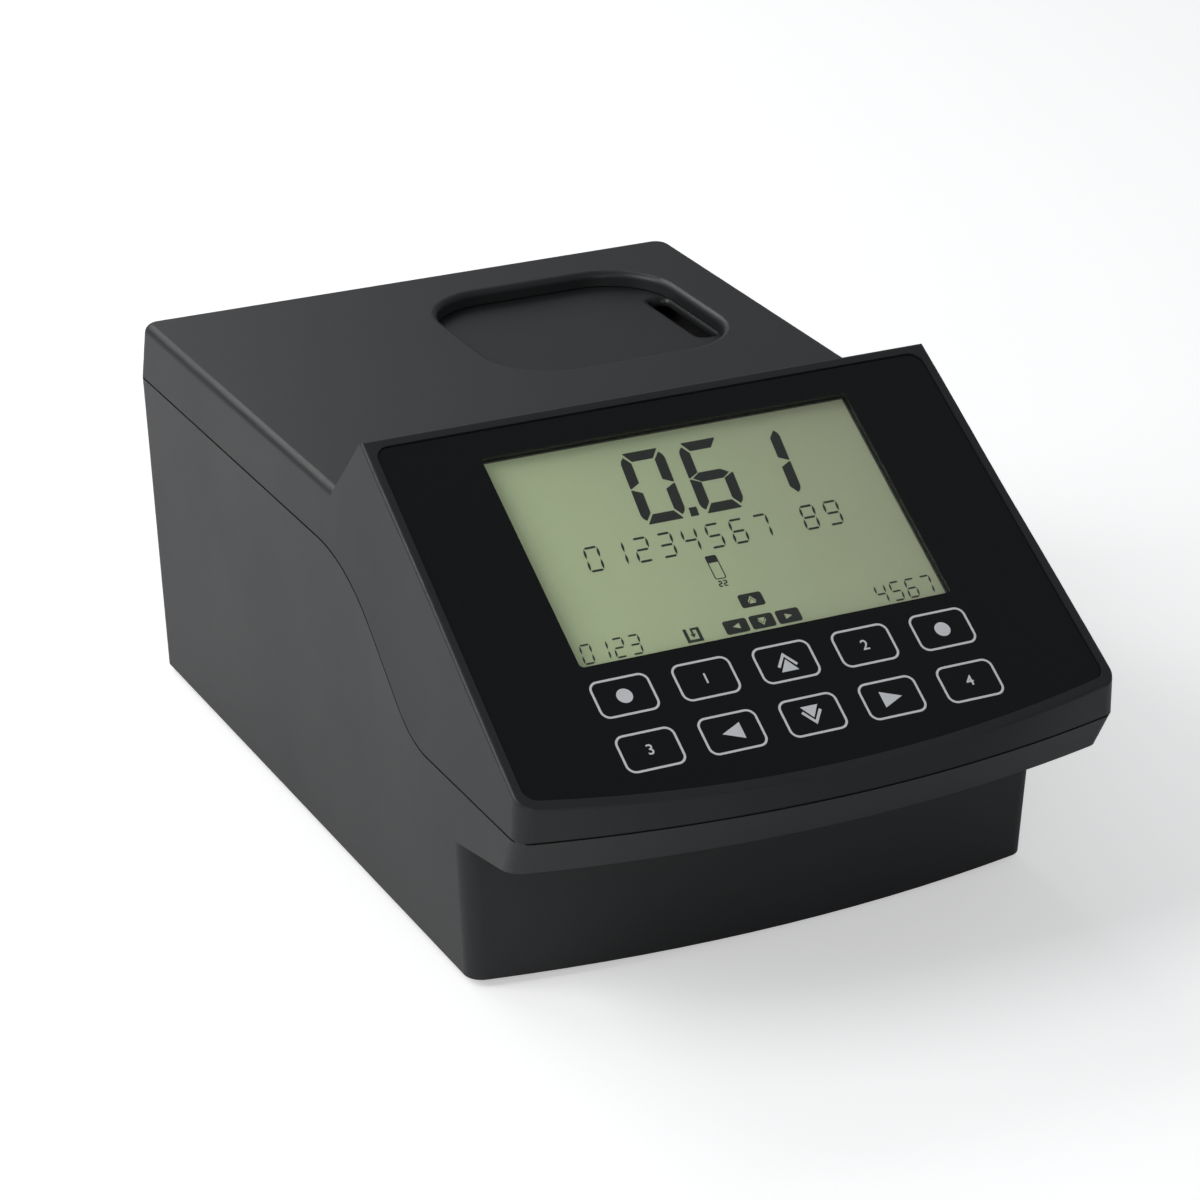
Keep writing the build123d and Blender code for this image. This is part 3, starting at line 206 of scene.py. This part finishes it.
def ring_line(across, down, width, length, radius, line, low, high):
    """A printed frame: a small rectangular profile, as wide as the line, carried round the outline."""
    outer = rounded(across, down, width, length, radius)
    inner = rounded(across, down, width - 2 * line, length - 2 * line, radius - line)
    profile = [on_console(inner[:, 0], inner[:, 1], low), on_console(outer[:, 0], outer[:, 1], low),
               on_console(outer[:, 0], outer[:, 1], high), on_console(inner[:, 0], inner[:, 1], high)]
    faces = grid_faces(len(outer), 4, True, True)
    return np.stack(profile, 1).reshape(-1, 3), faces[:, ::-1]


def disc(across, down, radius):
    """Outline of a printed dot."""
    turn = np.linspace(0, 2 * math.pi, 48, endpoint=False)
    return np.stack([across + radius * np.cos(turn), down + radius * np.sin(turn)], -1)


def turned(shape, across, down, quarter_turns):
    """A small outline drawn about its own centre, turned by quarters and put in its place."""
    angle = quarter_turns * math.pi / 2
    spin = np.array(((math.cos(angle), math.sin(angle)), (-math.sin(angle), math.cos(angle))))
    return np.asarray(shape, float) @ spin + np.array((across, down))


# Key symbols, drawn pointing up, in millimetres about the key's middle
SOLID_ARROW = ((0, -3.4), (2.95, 3.4), (-2.95, 3.4))
SMALL_ARROW = ((0, -1.1), (2.95, 3.3), (-2.95, 3.3))
CHEVRON = ((0, -3.6), (3.5, 1.1), (2.75, 1.7), (0, -2.05), (-2.75, 1.7), (-3.5, 1.1))


def numeral(text, size, across, down, low, high):
    """A plain number in Blender's own font, centred at its place: made a mesh, then laid on the console."""
    curve = bpy.data.curves.new("numeral", "FONT")
    curve.body = text
    curve.size = size
    curve.align_x = "CENTER"
    curve.align_y = "CENTER"
    curve.extrude = (high - low) / 2
    curve.offset = 0.05
    holder = bpy.data.objects.new("numeral", curve)
    bpy.context.scene.collection.objects.link(holder)
    bpy.context.view_layer.update()
    mesh = bpy.data.meshes.new_from_object(holder)
    flat = np.empty(len(mesh.vertices) * 3)
    mesh.vertices.foreach_get("co", flat)
    flat = flat.reshape(-1, 3)
    faces = [list(face.vertices) for face in mesh.polygons]
    bpy.data.objects.remove(holder)
    points = on_console(across + flat[:, 0], down - flat[:, 1], (low + high) / 2 + flat[:, 2])
    return points, faces


def figure_segments(width, height, bar, gap, cut):
    """
    Outlines of the seven bars of a figure in millimetres, named as electronics does. Bars meet in
    mitres with a gap between them, and the outer corners are cut off.
    """
    middle = height / 2
    top = [(cut + gap, 0.35 * gap), (cut + 2 * gap, 0), (width - cut - 2 * gap, 0),
           (width - cut - gap, 0.35 * gap), (width - bar - gap, bar), (bar + gap, bar)]
    side = [(0.42 * bar, 0.3 * bar + gap), (0.12 * bar, 0.62 * bar + gap), (0, bar + gap),
            (0, middle - gap), (0.12 * bar, middle - 0.6 * gap), (bar, middle - bar / 2 - 0.4 * gap),
            (bar, bar + 1.6 * gap)]
    centre = [(0.25 * bar + gap, middle), (bar + 0.6 * gap, middle - bar / 2),
              (width - bar - 0.6 * gap, middle - bar / 2), (width - 0.25 * bar - gap, middle),
              (width - bar - 0.6 * gap, middle + bar / 2), (bar + 0.6 * gap, middle + bar / 2)]

    def across(shape):
        return [(width - x, y) for x, y in shape]

    def below(shape):
        return [(x, height - y) for x, y in shape]

    return {"a": top, "d": below(top), "f": side, "b": across(side), "e": below(side),
            "c": below(across(side)), "g": centre}


FIGURES = {
    "0": "abcdef", "1": "bc", "2": "abged", "3": "abgcd", "4": "fgbc", "5": "afgcd",
    "6": "afgedc", "7": "abc", "8": "abcdefg", "9": "abcdfg", " ": "",
}


def figures(text, left, top, pitch, lean, segments, height, low, high):
    """Lit bars of a row of figures, each leaning over by a share of its height above the baseline."""
    shown = []
    for place, letter in enumerate(text):
        for bar in FIGURES[letter]:
            outline = np.array(segments[bar], float)
            outline[:, 0] += left + place * pitch + lean * (height - outline[:, 1])
            outline[:, 1] += top
            shown.append(raised(outline, low, high))
    return shown


def slim_segments(width, height, bar):
    """Bars of the slim figures of the text rows: needles with long points that stay apart."""
    middle, half, tip = height / 2, bar / 2, 0.75 * bar
    point = 1.8 * bar

    def lie(y):
        return [(tip, y), (tip + half, y - half), (width - tip - half, y - half),
                (width - tip, y), (width - tip - half, y + half), (tip + half, y + half)]

    def stand(x, start, end):
        return [(x, start), (x + half, start + point), (x + half, end - point),
                (x, end), (x - half, end - point), (x - half, start + point)]

    upper, lower = (0.55 * bar, middle - 0.35 * bar), (middle + 0.35 * bar, height - 0.55 * bar)
    return {"a": lie(half), "g": lie(middle), "d": lie(height - half),
            "f": stand(half, *upper), "b": stand(width - half, *upper),
            "e": stand(half, *lower), "c": stand(width - half, *lower)}


class PhotometerLook(bpy.types.PropertyGroup):
    """Colours and sizes of the finishes and prints."""
    housing_colour: bpy.props.StringProperty(
        name="Housing", description="Colour of the moulded housing, as sRGB hex", default="#232425")
    panel_colour: bpy.props.StringProperty(
        name="Front panel", description="Colour of the gloss panel sheet, as sRGB hex", default="#08090a")
    display_colour: bpy.props.StringProperty(
        name="Display", description="Colour of the unlit display, as sRGB hex", default="#b4c09a")
    ink_colour: bpy.props.StringProperty(
        name="Key print", description="Colour of the printed keys, as sRGB hex", default="#eef0f2")
    reading: bpy.props.StringProperty(
        name="Reading", description="Figures shown large on the display", default="061")
    print_height: bpy.props.FloatProperty(
        name="Print height", description="How far ink stands on the sheet, in millimetres",
        default=0.03, min=0.01, max=0.2)
    key_pitch: bpy.props.FloatProperty(
        name="Key pitch", description="Distance between key columns, in millimetres", default=27.35)
    key_width: bpy.props.FloatProperty(
        name="Key width", description="Width of a key's printed frame, in millimetres", default=19.8)
    key_length: bpy.props.FloatProperty(
        name="Key length", description="Length of a key's frame down the slope, in millimetres",
        default=13.8)
    key_line: bpy.props.FloatProperty(
        name="Key line", description="Width of the printed line, in millimetres", default=0.75)
    lamp_level: bpy.props.FloatProperty(
        name="Lamp level", description="Multiplies the power of every studio lamp", default=1.0)


def look():
    """The settings of this scene."""
    return bpy.context.scene.photometer_look


class PHOTOMETER_OT_housing(bpy.types.Operator):
    """Moulded housing, feet, screws and service doors"""
    bl_idname = "photometer.housing"
    bl_label = "Housing"

    def execute(self, context):
        # ABS moulded in a spark-eroded tool: satin charcoal, with a fine even texture that breaks up
        # reflections. The real grain is about 0.1 mm; it is drawn at 0.5 mm so that it shows.
        shell = finish("abs_charcoal_textured", look().housing_colour, "#2a2b2d", 60, 0.44, 0.03,
                       0.5, 0.012, **{"IOR": 1.53, "Specular IOR Level": 0.42})
        dress(["lower_housing", "upper_housing", "battery_door", "lamp_door"], shell)
        # Moulded rubber: dead black, dusty where it wears on the table.
        dress(["rubber_feet"], finish("rubber_moulded", "#121212", "#1d1c1b", 6, 0.86, 0.06, 0.6, 0.03))
        # Zinc-plated steel screws: bright grey with a slight yellow cast in places.
        dress(["housing_screws", "bench_screws", "board_screws"],
              finish("steel_zinc_plated", "#a9abad", "#b9b6a8", 2, 0.34, 0.08, 0.3, 0.006, Metallic=1.0))
        return {"FINISHED"}


class PHOTOMETER_OT_cover(bpy.types.Operator):
    """Sliding cover and cell compartment"""
    bl_idname = "photometer.cover"
    bl_label = "Cover and compartment"

    def execute(self, context):
        # The same ABS in a smoother tool: a hand slides it, so it is a little glossier.
        dress(["sliding_cover"], finish("abs_charcoal_smooth", "#1e1f20", "#252627", 50, 0.36, 0.04,
                                        0.5, 0.006, **{"IOR": 1.53, "Specular IOR Level": 0.42}))
        # Matt black ABS, so that no stray light reaches the cell.
        dress(["cell_compartment"], finish("abs_black_matt", "#101010", "#171717", 30, 0.7, 0.05, 0.5, 0.02))
        # Glass-filled nylon: black with a faint fibre grain along the moulding.
        dress(["cell_holder"], finish("nylon_glass_filled", "#0f1011", "#1c1d1e", 3, 0.5, 0.08,
                                      0.4, 0.01, stretch=(1, 1, 0.3)))
        return {"FINISHED"}


class PHOTOMETER_OT_panel(bpy.types.Operator):
    """Gloss front panel with its printed touch keys"""
    bl_idname = "photometer.panel"
    bl_label = "Panel and keys"

    def execute(self, context):
        # Polyester sheet printed black on its back: deep gloss, with a very slow waviness.
        sheet = finish("polyester_black_gloss", look().panel_colour, "#0b0c0e", 90, 0.13, 0.03,
                       14, 0.006, **{"IOR": 1.5, "Specular IOR Level": 0.4})
        dress(["control_panel"], sheet)
        # Screen-printed white ink: thin, slightly uneven and softly matt.
        ink = finish("ink_white_screen_print", look().ink_colour, "#e2e4e7", 4, 0.5, 0.05, 0.3, 0.004)
        low, high = SHEET_LEVEL - PRINT_SINK, SHEET_LEVEL + look().print_height
        corner_radius, dot_radius, number_size, arrow_nudge = 3.2, 2.6, 5.2, 0.1
        columns = [column * look().key_pitch for column in (-2, -1, 0, 1, 2)]
        parts = [ring_line(column, row, look().key_width, look().key_length, corner_radius,
                           look().key_line, low, high)
                 for row in (FIRST_KEY_ROW, SECOND_KEY_ROW) for column in columns]
        marks = [disc(columns[end], FIRST_KEY_ROW, dot_radius) for end in (0, 4)]
        marks += [turned(shape, columns[2], row, quarter_turns)
                  for row, quarter_turns in ((FIRST_KEY_ROW + arrow_nudge, 0),
                                             (SECOND_KEY_ROW - arrow_nudge, 2))
                  for shape in (SMALL_ARROW, CHEVRON)]
        marks += [turned(SOLID_ARROW, columns[1], SECOND_KEY_ROW, 3),
                  turned(SOLID_ARROW, columns[3], SECOND_KEY_ROW, 1)]
        parts += [raised(mark, low, high) for mark in marks]
        parts += [numeral(text, number_size, columns[column], row, low, high)
                  for text, column, row in (("1", 1, FIRST_KEY_ROW), ("2", 3, FIRST_KEY_ROW),
                                            ("3", 0, SECOND_KEY_ROW), ("4", 4, SECOND_KEY_ROW))]
        piece("key_print", parts, ink, "housing")
        return {"FINISHED"}


class PHOTOMETER_OT_display(bpy.types.Operator):
    """Display: window, crystal cell, lit figures and symbols"""
    bl_idname = "photometer.display"
    bl_label = "Display"

    def execute(self, context):
        # Cast acrylic: clear, with a faint gloss; lamps shine straight through it.
        clear, tree, output = blank("acrylic_clear")
        haze = node(tree, "ShaderNodeTexNoise", {
            "Vector": node(tree, "ShaderNodeTexCoord").outputs["Object"], "Scale": 1 / (30 * MM)})
        dull = node(tree, "ShaderNodeMapRange", {
            "Value": haze.outputs["Fac"], "To Min": 0.01, "To Max": 0.05})
        glass = node(tree, "ShaderNodeBsdfPrincipled", {
            "Base Color": linear("#fafcfa"), "Roughness": dull.outputs["Result"],
            "IOR": 1.49, "Transmission Weight": 1.0})
        passing = node(tree, "ShaderNodeBsdfTransparent", {"Color": linear("#f2f5f2")})
        shadow = node(tree, "ShaderNodeLightPath").outputs["Is Shadow Ray"]
        both = node(tree, "ShaderNodeMixShader", {0: shadow, 1: glass.outputs[0], 2: passing.outputs[0]})
        tree.links.new(both.outputs[0], output.inputs["Surface"])
        dress(["display_window"], clear)

        # Twisted-nematic cell over its reflector: pale olive, with painted shading that leaves it lighter
        # and greener to the left and greyer to the right, the reflector's grain with a painted glint as a
        # faint fine mottle, and a faint painted glow.
        cell, tree, output = blank("crystal_cell_olive")
        place = node(tree, "ShaderNodeTexCoord").outputs["Object"]
        axes = node(tree, "ShaderNodeSeparateXYZ", {"Vector": place})
        # Painted shading: lighter and greener at the left end of the cell, greyer at the right end.
        along = node(tree, "ShaderNodeMapRange", {
            "Value": axes.outputs["X"], "From Min": -64 * MM, "From Max": 64 * MM})
        tone = node(tree, "ShaderNodeMix", {
            "Factor": along.outputs["Result"], "A": linear(look().display_colour),
            "B": linear("#a3a78c")}, data_type="RGBA")
        # Reflector grain with a painted glint: a faint fine mottle of lighter and darker spots laid over the
        # colour.
        grain_and_painted_glint = node(tree, "ShaderNodeTexNoise", {
            "Vector": place, "Scale": 1 / (0.6 * MM), "Detail": 2.0})
        mottled = node(tree, "ShaderNodeMix", {
            "Factor": 0.06, "A": tone.outputs[2], "B": grain_and_painted_glint.outputs["Color"]}, data_type="RGBA",
            blend_type="OVERLAY")
        # Painted glow: the unlit cell gives off a little light in its own colour.
        skin = node(tree, "ShaderNodeBsdfPrincipled", {
            "Base Color": mottled.outputs[2], "Roughness": 0.4, "IOR": 1.5,
            "Emission Color": mottled.outputs[2], "Emission Strength": 0.12})
        tree.links.new(skin.outputs[0], output.inputs["Surface"])
        dress(["display_glass"], cell)

        # Energised crystal: almost black with a green cast, where the polariser stops the light.
        lit = finish("crystal_bars_dark", "#0d100b", "#14170f", 8, 0.35, 0.04, 0.6, 0.001)
        low, high = GLASS_LEVEL - BAR_SINK, GLASS_LEVEL + 0.04
        big_height, row_height, foot_height, cell_number_height = 27.9, 9.5, 7.4, 2.3
        big = figure_segments(15.3, big_height, 3.6, 0.4, 1.2)
        parts = figures(look().reading, -21.2, READING_TOP, 20.45, 0.085, big, big_height, low, high)
        point = np.array(((-4.5, 43.9), (-1.8, 43.9), (-2.1, 47.3), (-4.9, 47.3)))
        parts.append(raised(point, low, high))
        row = slim_segments(5.3, row_height, 0.8)
        parts += figures("01234567 89", -45.4, TEXT_ROW_TOP, 8.35, 0.11, row, row_height, low, high)
        foot = slim_segments(3.9, foot_height, 0.62)
        parts += figures("0123", -60.7, FOOT_ROW_TOP, 5.4, 0.11, foot, foot_height, low, high)
        parts += figures("4567", 40.8, FOOT_ROW_TOP, 5.4, 0.11, foot, foot_height, low, high)
        small = figure_segments(1.45, cell_number_height, 0.45, 0.02, 0.1)
        parts += figures("22", -7.1, CELL_NUMBER_TOP, 1.75, 0.0, small, cell_number_height, low, high)
        # Cell symbol: a small tube with a dark cap
        parts.append(ring_line(-5.35, SYMBOL_ROW, 3.9, 8.8, 0.9, 0.35, low, high))
        parts.append(raised(rounded(-5.35, 64.1, 3.9, 2.7, 0.6), low, high))
        # Four key symbols on dark tiles, and the return mark beside them
        upper_tile = (0.8, UPPER_TILE_ROW)
        left_tile, middle_tile, right_tile = [(x, LOWER_TILE_ROW) for x in (-8.15, 0.9, 10.0)]
        tiles = (upper_tile, left_tile, middle_tile, right_tile)
        parts += [raised(rounded(x, y, 8.1, 5.1, 0.9), low, high) for x, y in tiles]
        parts += [raised(outline, low, high) for outline in (
            ((-25.6, 87.2), (-24.5, 87.2), (-24.5, 92.4), (-25.6, 92.4)),
            ((-24.5, 91.4), (-21.3, 91.4), (-21.3, 92.4), (-24.5, 92.4)),
            ((-21.3, 87.2), (-20.2, 87.2), (-20.2, 92.4), (-21.3, 92.4)),
            ((-23.2, 87.2), (-21.3, 87.2), (-21.3, 88.0), (-23.2, 88.0)),
            ((-23.2, 88.0), (-22.5, 88.0), (-22.5, 89.4), (-21.9, 89.4), (-22.85, 90.8),
             (-23.8, 89.4), (-23.2, 89.4)))]
        piece("display_figures", parts, lit, "housing")
        arrow = np.array(SMALL_ARROW) * 0.42 + np.array((0, -0.3))
        hook = np.array(CHEVRON) * 0.42
        side_arrow = np.array(SOLID_ARROW) * 0.36
        arrow_nudge = 0.2
        marks = [turned(arrow, upper_tile[0], upper_tile[1] + arrow_nudge, 0),
                 turned(hook, *upper_tile, 0),
                 turned(arrow, middle_tile[0], middle_tile[1] - arrow_nudge, 2),
                 turned(hook, *middle_tile, 2),
                 turned(side_arrow, *left_tile, 3), turned(side_arrow, *right_tile, 1)]
        piece("display_tile_arrows", [raised(mark, high - 0.01, high + 0.02) for mark in marks],
              cell, "housing")
        # Backlight foil and its tray, behind the cell
        dress(["display_backlight"], finish("acrylic_diffuser_white", "#e9ebe6", "#f4f5f2", 10, 0.5,
                                            0.05, 0.8, 0.005))
        dress(["display_tray"], finish("polycarbonate_black", "#121314", "#1a1b1c", 12, 0.5, 0.06,
                                       0.5, 0.01))
        return {"FINISHED"}


class PHOTOMETER_OT_optics(bpy.types.Operator):
    """Optical bench, grating drive, lamp and detector"""
    bl_idname = "photometer.optics"
    bl_label = "Optics"

    def execute(self, context):
        # Milled aluminium: cutter lines run across the bench; the lines are drawn 1 mm apart.
        milled = finish("aluminium_milled", "#9fa3a6", "#b9bcbf", 4, 0.32, 0.08, 1.0, 0.01,
                        stretch=(1, 0.08, 1), Metallic=1.0)
        dress(["optical_bench", "grating_table", "grating_bush", "lamp_house"], milled)
        # Cut brass: warm, with the hob's fine marks.
        dress(["motor_pinion"], finish("brass_cut", "#b08d43", "#c8a55a", 2, 0.3, 0.07, 0.3, 0.006,
                                       Metallic=1.0))
        # Ruled and aluminised glass: a bright mirror; the colours its grooves spread are painted in as a
        # slight hue that wanders over patches.
        dress(["grating"], finish("grating_aluminised", "#c4c9d2", "#d4cfd6", 9, 0.12, 0.04, 0.4,
                                  0.002, stretch=(6, 6, 0.1), Metallic=1.0))
        dress(["lamp", "condenser_lens"], finish("glass_pressed", "#e4eaec", "#f1f5f6", 6, 0.06, 0.03,
                                                 3, 0.004, **{"Transmission Weight": 0.9, "IOR": 1.5}))
        # Stamped steel can and laminations of the small motor.
        dress(["stepper_motor"], finish("steel_stamped", "#6c6f73", "#83868a", 5, 0.4, 0.08, 0.5,
                                        0.008, Metallic=1.0))
        # Black-anodised aluminium: matt, so that the slits don't glare.
        dress(["entrance_slit", "exit_slit", "lens_stand"], finish(
            "aluminium_black_anodised", "#131416", "#1e2023", 6, 0.52, 0.06, 0.3, 0.006, Metallic=0.6))
        # Epoxy-moulded detector on its little board.
        dress(["detector"], finish("epoxy_moulded", "#0f1012", "#1b1c1e", 4, 0.42, 0.08, 0.4, 0.01))
        return {"FINISHED"}


class PHOTOMETER_OT_electronics(bpy.types.Operator):
    """Boards, their components and the battery pack"""
    bl_idname = "photometer.electronics"
    bl_label = "Electronics"

    def execute(self, context):
        # Glass-epoxy board under green solder mask: copper shows lighter, on a 2.5 mm grid.
        board, tree, output = blank("board_green_mask")
        place = node(tree, "ShaderNodeTexCoord").outputs["Object"]
        tracks = node(tree, "ShaderNodeTexBrick", {
            "Vector": place, "Color1": linear("#1f6b41"), "Color2": linear("#27784b"),
            "Mortar": linear("#17502f"), "Scale": 1 / (5 * MM), "Mortar Size": 0.08})
        lift = node(tree, "ShaderNodeBump", {
            "Height": tracks.outputs["Fac"], "Distance": 0.03 * MM})
        skin = node(tree, "ShaderNodeBsdfPrincipled", {
            "Base Color": tracks.outputs["Color"], "Roughness": 0.3, "Normal": lift.outputs["Normal"]})
        tree.links.new(skin.outputs[0], output.inputs["Surface"])
        dress(["main_board", "touch_board"], board)
        dress(["board_components"], finish("epoxy_component", "#141416", "#2b2c30", 5, 0.45, 0.1, 0.4,
                                           0.01))
        # Shrink sleeve over the cells: blue vinyl with soft folds.
        dress(["battery_pack"], finish("vinyl_shrink_blue", "#1d3a78", "#28509a", 12, 0.32, 0.05, 5,
                                       0.08))
        return {"FINISHED"}


class PHOTOMETER_OT_rear(bpy.types.Operator):
    """Switch and sockets in the rear connector field"""
    bl_idname = "photometer.rear"
    bl_label = "Rear connectors"

    def execute(self, context):
        # Glossy moulded nylon of the rocker, a little worn on its crowns.
        dress(["power_rocker"], finish("nylon_rocker_gloss", "#101112", "#191a1b", 6, 0.28, 0.06, 0.5,
                                       0.004))
        dress(["switch_bezel", "power_socket"], finish("nylon_black_satin", "#131415", "#1d1e1f", 8,
                                                       0.46, 0.06, 0.5, 0.01))
        # Nickel-plated shell of the data socket: bright, with drawing lines.
        dress(["data_socket"], finish("nickel_plated", "#b4b3ac", "#c9c8c2", 3, 0.24, 0.06, 0.4, 0.004,
                                      stretch=(1, 0.1, 1), Metallic=1.0))
        return {"FINISHED"}


class PHOTOMETER_OT_stage(bpy.types.Operator):
    """Pale floor, soft lamps and the camera"""
    bl_idname = "photometer.stage"
    bl_label = "Studio"

    def execute(self, context):
        scene = context.scene
        scene.view_settings.view_transform = "Standard"

        yaw, pitch, roll = (math.radians(angle) for angle in CAMERA_ANGLES)
        ahead = Vector((math.sin(yaw) * math.cos(pitch), math.cos(yaw) * math.cos(pitch), -math.sin(pitch)))
        level = Vector((math.cos(yaw), -math.sin(yaw), 0))
        upright = level.cross(ahead)
        right = math.cos(roll) * level + math.sin(roll) * upright
        up = math.cos(roll) * upright - math.sin(roll) * level
        camera_data = bpy.data.cameras.new("camera")
        camera_data.lens = CAMERA_LENS
        camera_data.sensor_width = CAMERA_SENSOR
        camera_data.clip_end = 50.0
        camera = bpy.data.objects.new("camera", camera_data)
        scene.collection.objects.link(camera)
        turn = Matrix((right, up, -ahead)).transposed().to_4x4()
        camera.matrix_world = Matrix.Translation(Vector(CAMERA_PLACE) * MM) @ turn
        scene.camera = camera

        # Floor: a flat sheet that sweeps up at its far edge, a height given over a grid
        columns, rows = 41, 81
        across, along = np.meshgrid(
            np.linspace(-FLOOR_REACH, FLOOR_REACH, columns),
            np.linspace(-FLOOR_REACH, FLOOR_REACH, rows), indexing="ij")
        height = FLOOR_SWEEP_RISE * np.clip(along - FLOOR_SWEEP_START, 0, None) ** 2
        floor_mesh = bpy.data.meshes.new("floor")
        floor_points = np.stack([across, along, height - FLOOR_DROP], -1).reshape(-1, 3)
        floor_faces = grid_faces(columns, rows, False, False)
        floor_mesh.from_pydata(floor_points.tolist(), [], floor_faces.tolist())
        floor = bpy.data.objects.new("floor", floor_mesh)
        scene.collection.objects.link(floor)
        paper, tree, output = blank("studio_paper_white")
        place = node(tree, "ShaderNodeTexCoord").outputs["Object"]
        cloud = node(tree, "ShaderNodeTexNoise", {"Vector": place, "Scale": 2.0})
        tone = node(tree, "ShaderNodeMix", {
            "Factor": cloud.outputs["Fac"], "A": linear("#f4f4f4"), "B": linear("#f8f8f8")},
            data_type="RGBA")
        matt = node(tree, "ShaderNodeBsdfDiffuse", {"Color": tone.outputs[2]})
        glow = node(tree, "ShaderNodeEmission", {"Color": (1, 1, 1, 1), "Strength": FLOOR_GLOW})
        seen = node(tree, "ShaderNodeAddShader", {0: matt.outputs[0], 1: glow.outputs[0]})
        rays = node(tree, "ShaderNodeLightPath")
        direct = node(tree, "ShaderNodeMath", {
            0: rays.outputs["Is Camera Ray"], 1: rays.outputs["Is Transmission Ray"]}, operation="MAXIMUM")
        both = node(tree, "ShaderNodeMixShader", {
            0: direct.outputs[0], 1: matt.outputs[0], 2: seen.outputs[0]})
        tree.links.new(both.outputs[0], output.inputs["Surface"])
        floor_mesh.materials.append(paper)

        # World: an even dim surround
        world = bpy.data.worlds.new("studio")
        scene.world = world
        world.use_nodes = True
        surround = world.node_tree.nodes["Background"].inputs
        surround["Color"].default_value = linear("#d9dce0")
        surround["Strength"].default_value = WORLD_STRENGTH

        # Soft boxes: name, place, aim, size across and along, power
        boxes = (
            ("left_softbox", (-1.35, 0.25, 1.15), (0, 0, 0.06), 1.1, 1.1, 15.0),
            ("rear_softbox", (-0.35, 1.5, 1.25), (0, 0.05, 0.08), 1.6, 0.6, 10.0),
            ("front_fill", (-0.5, -1.6, 0.9), (0, 0, 0.08), 1.2, 0.8, 4.0),
        )
        for name, place, aim, width, length, power in boxes:
            lamp = bpy.data.lights.new(name, "AREA")
            lamp.shape = "RECTANGLE"
            lamp.size = width
            lamp.size_y = length
            lamp.energy = power * look().lamp_level
            holder = bpy.data.objects.new(name, lamp)
            scene.collection.objects.link(holder)
            facing = (Vector(aim) - Vector(place)).to_track_quat("-Z", "Y")
            holder.matrix_world = Matrix.Translation(place) @ facing.to_matrix().to_4x4()
        return {"FINISHED"}


OPERATORS = (
    PHOTOMETER_OT_housing, PHOTOMETER_OT_cover, PHOTOMETER_OT_panel, PHOTOMETER_OT_display,
    PHOTOMETER_OT_optics, PHOTOMETER_OT_electronics, PHOTOMETER_OT_rear, PHOTOMETER_OT_stage,
)


class PHOTOMETER_PT_sidebar(bpy.types.Panel):
    """Lists the settings and the steps in the 3D view's sidebar"""
    bl_idname = "PHOTOMETER_PT_sidebar"
    bl_label = "Photometer"
    bl_space_type = "VIEW_3D"
    bl_region_type = "UI"
    bl_category = "Photometer"

    def draw(self, context):
        for name in PhotometerLook.__annotations__:
            self.layout.prop(context.scene.photometer_look, name)
        for operator in OPERATORS:
            self.layout.operator(operator.bl_idname)


CLASSES = (PhotometerLook, *OPERATORS, PHOTOMETER_PT_sidebar)


def register():
    for cls in CLASSES:
        bpy.utils.register_class(cls)
    bpy.types.Scene.photometer_look = bpy.props.PointerProperty(type=PhotometerLook)


def unregister():
    del bpy.types.Scene.photometer_look
    for cls in reversed(CLASSES):
        bpy.utils.unregister_class(cls)


def main():
    """Registers the add-on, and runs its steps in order."""
    register()
    for operator in OPERATORS:
        group, name = operator.bl_idname.split(".")
        getattr(getattr(bpy.ops, group), name)()


if __name__ == "__main__":
    main()
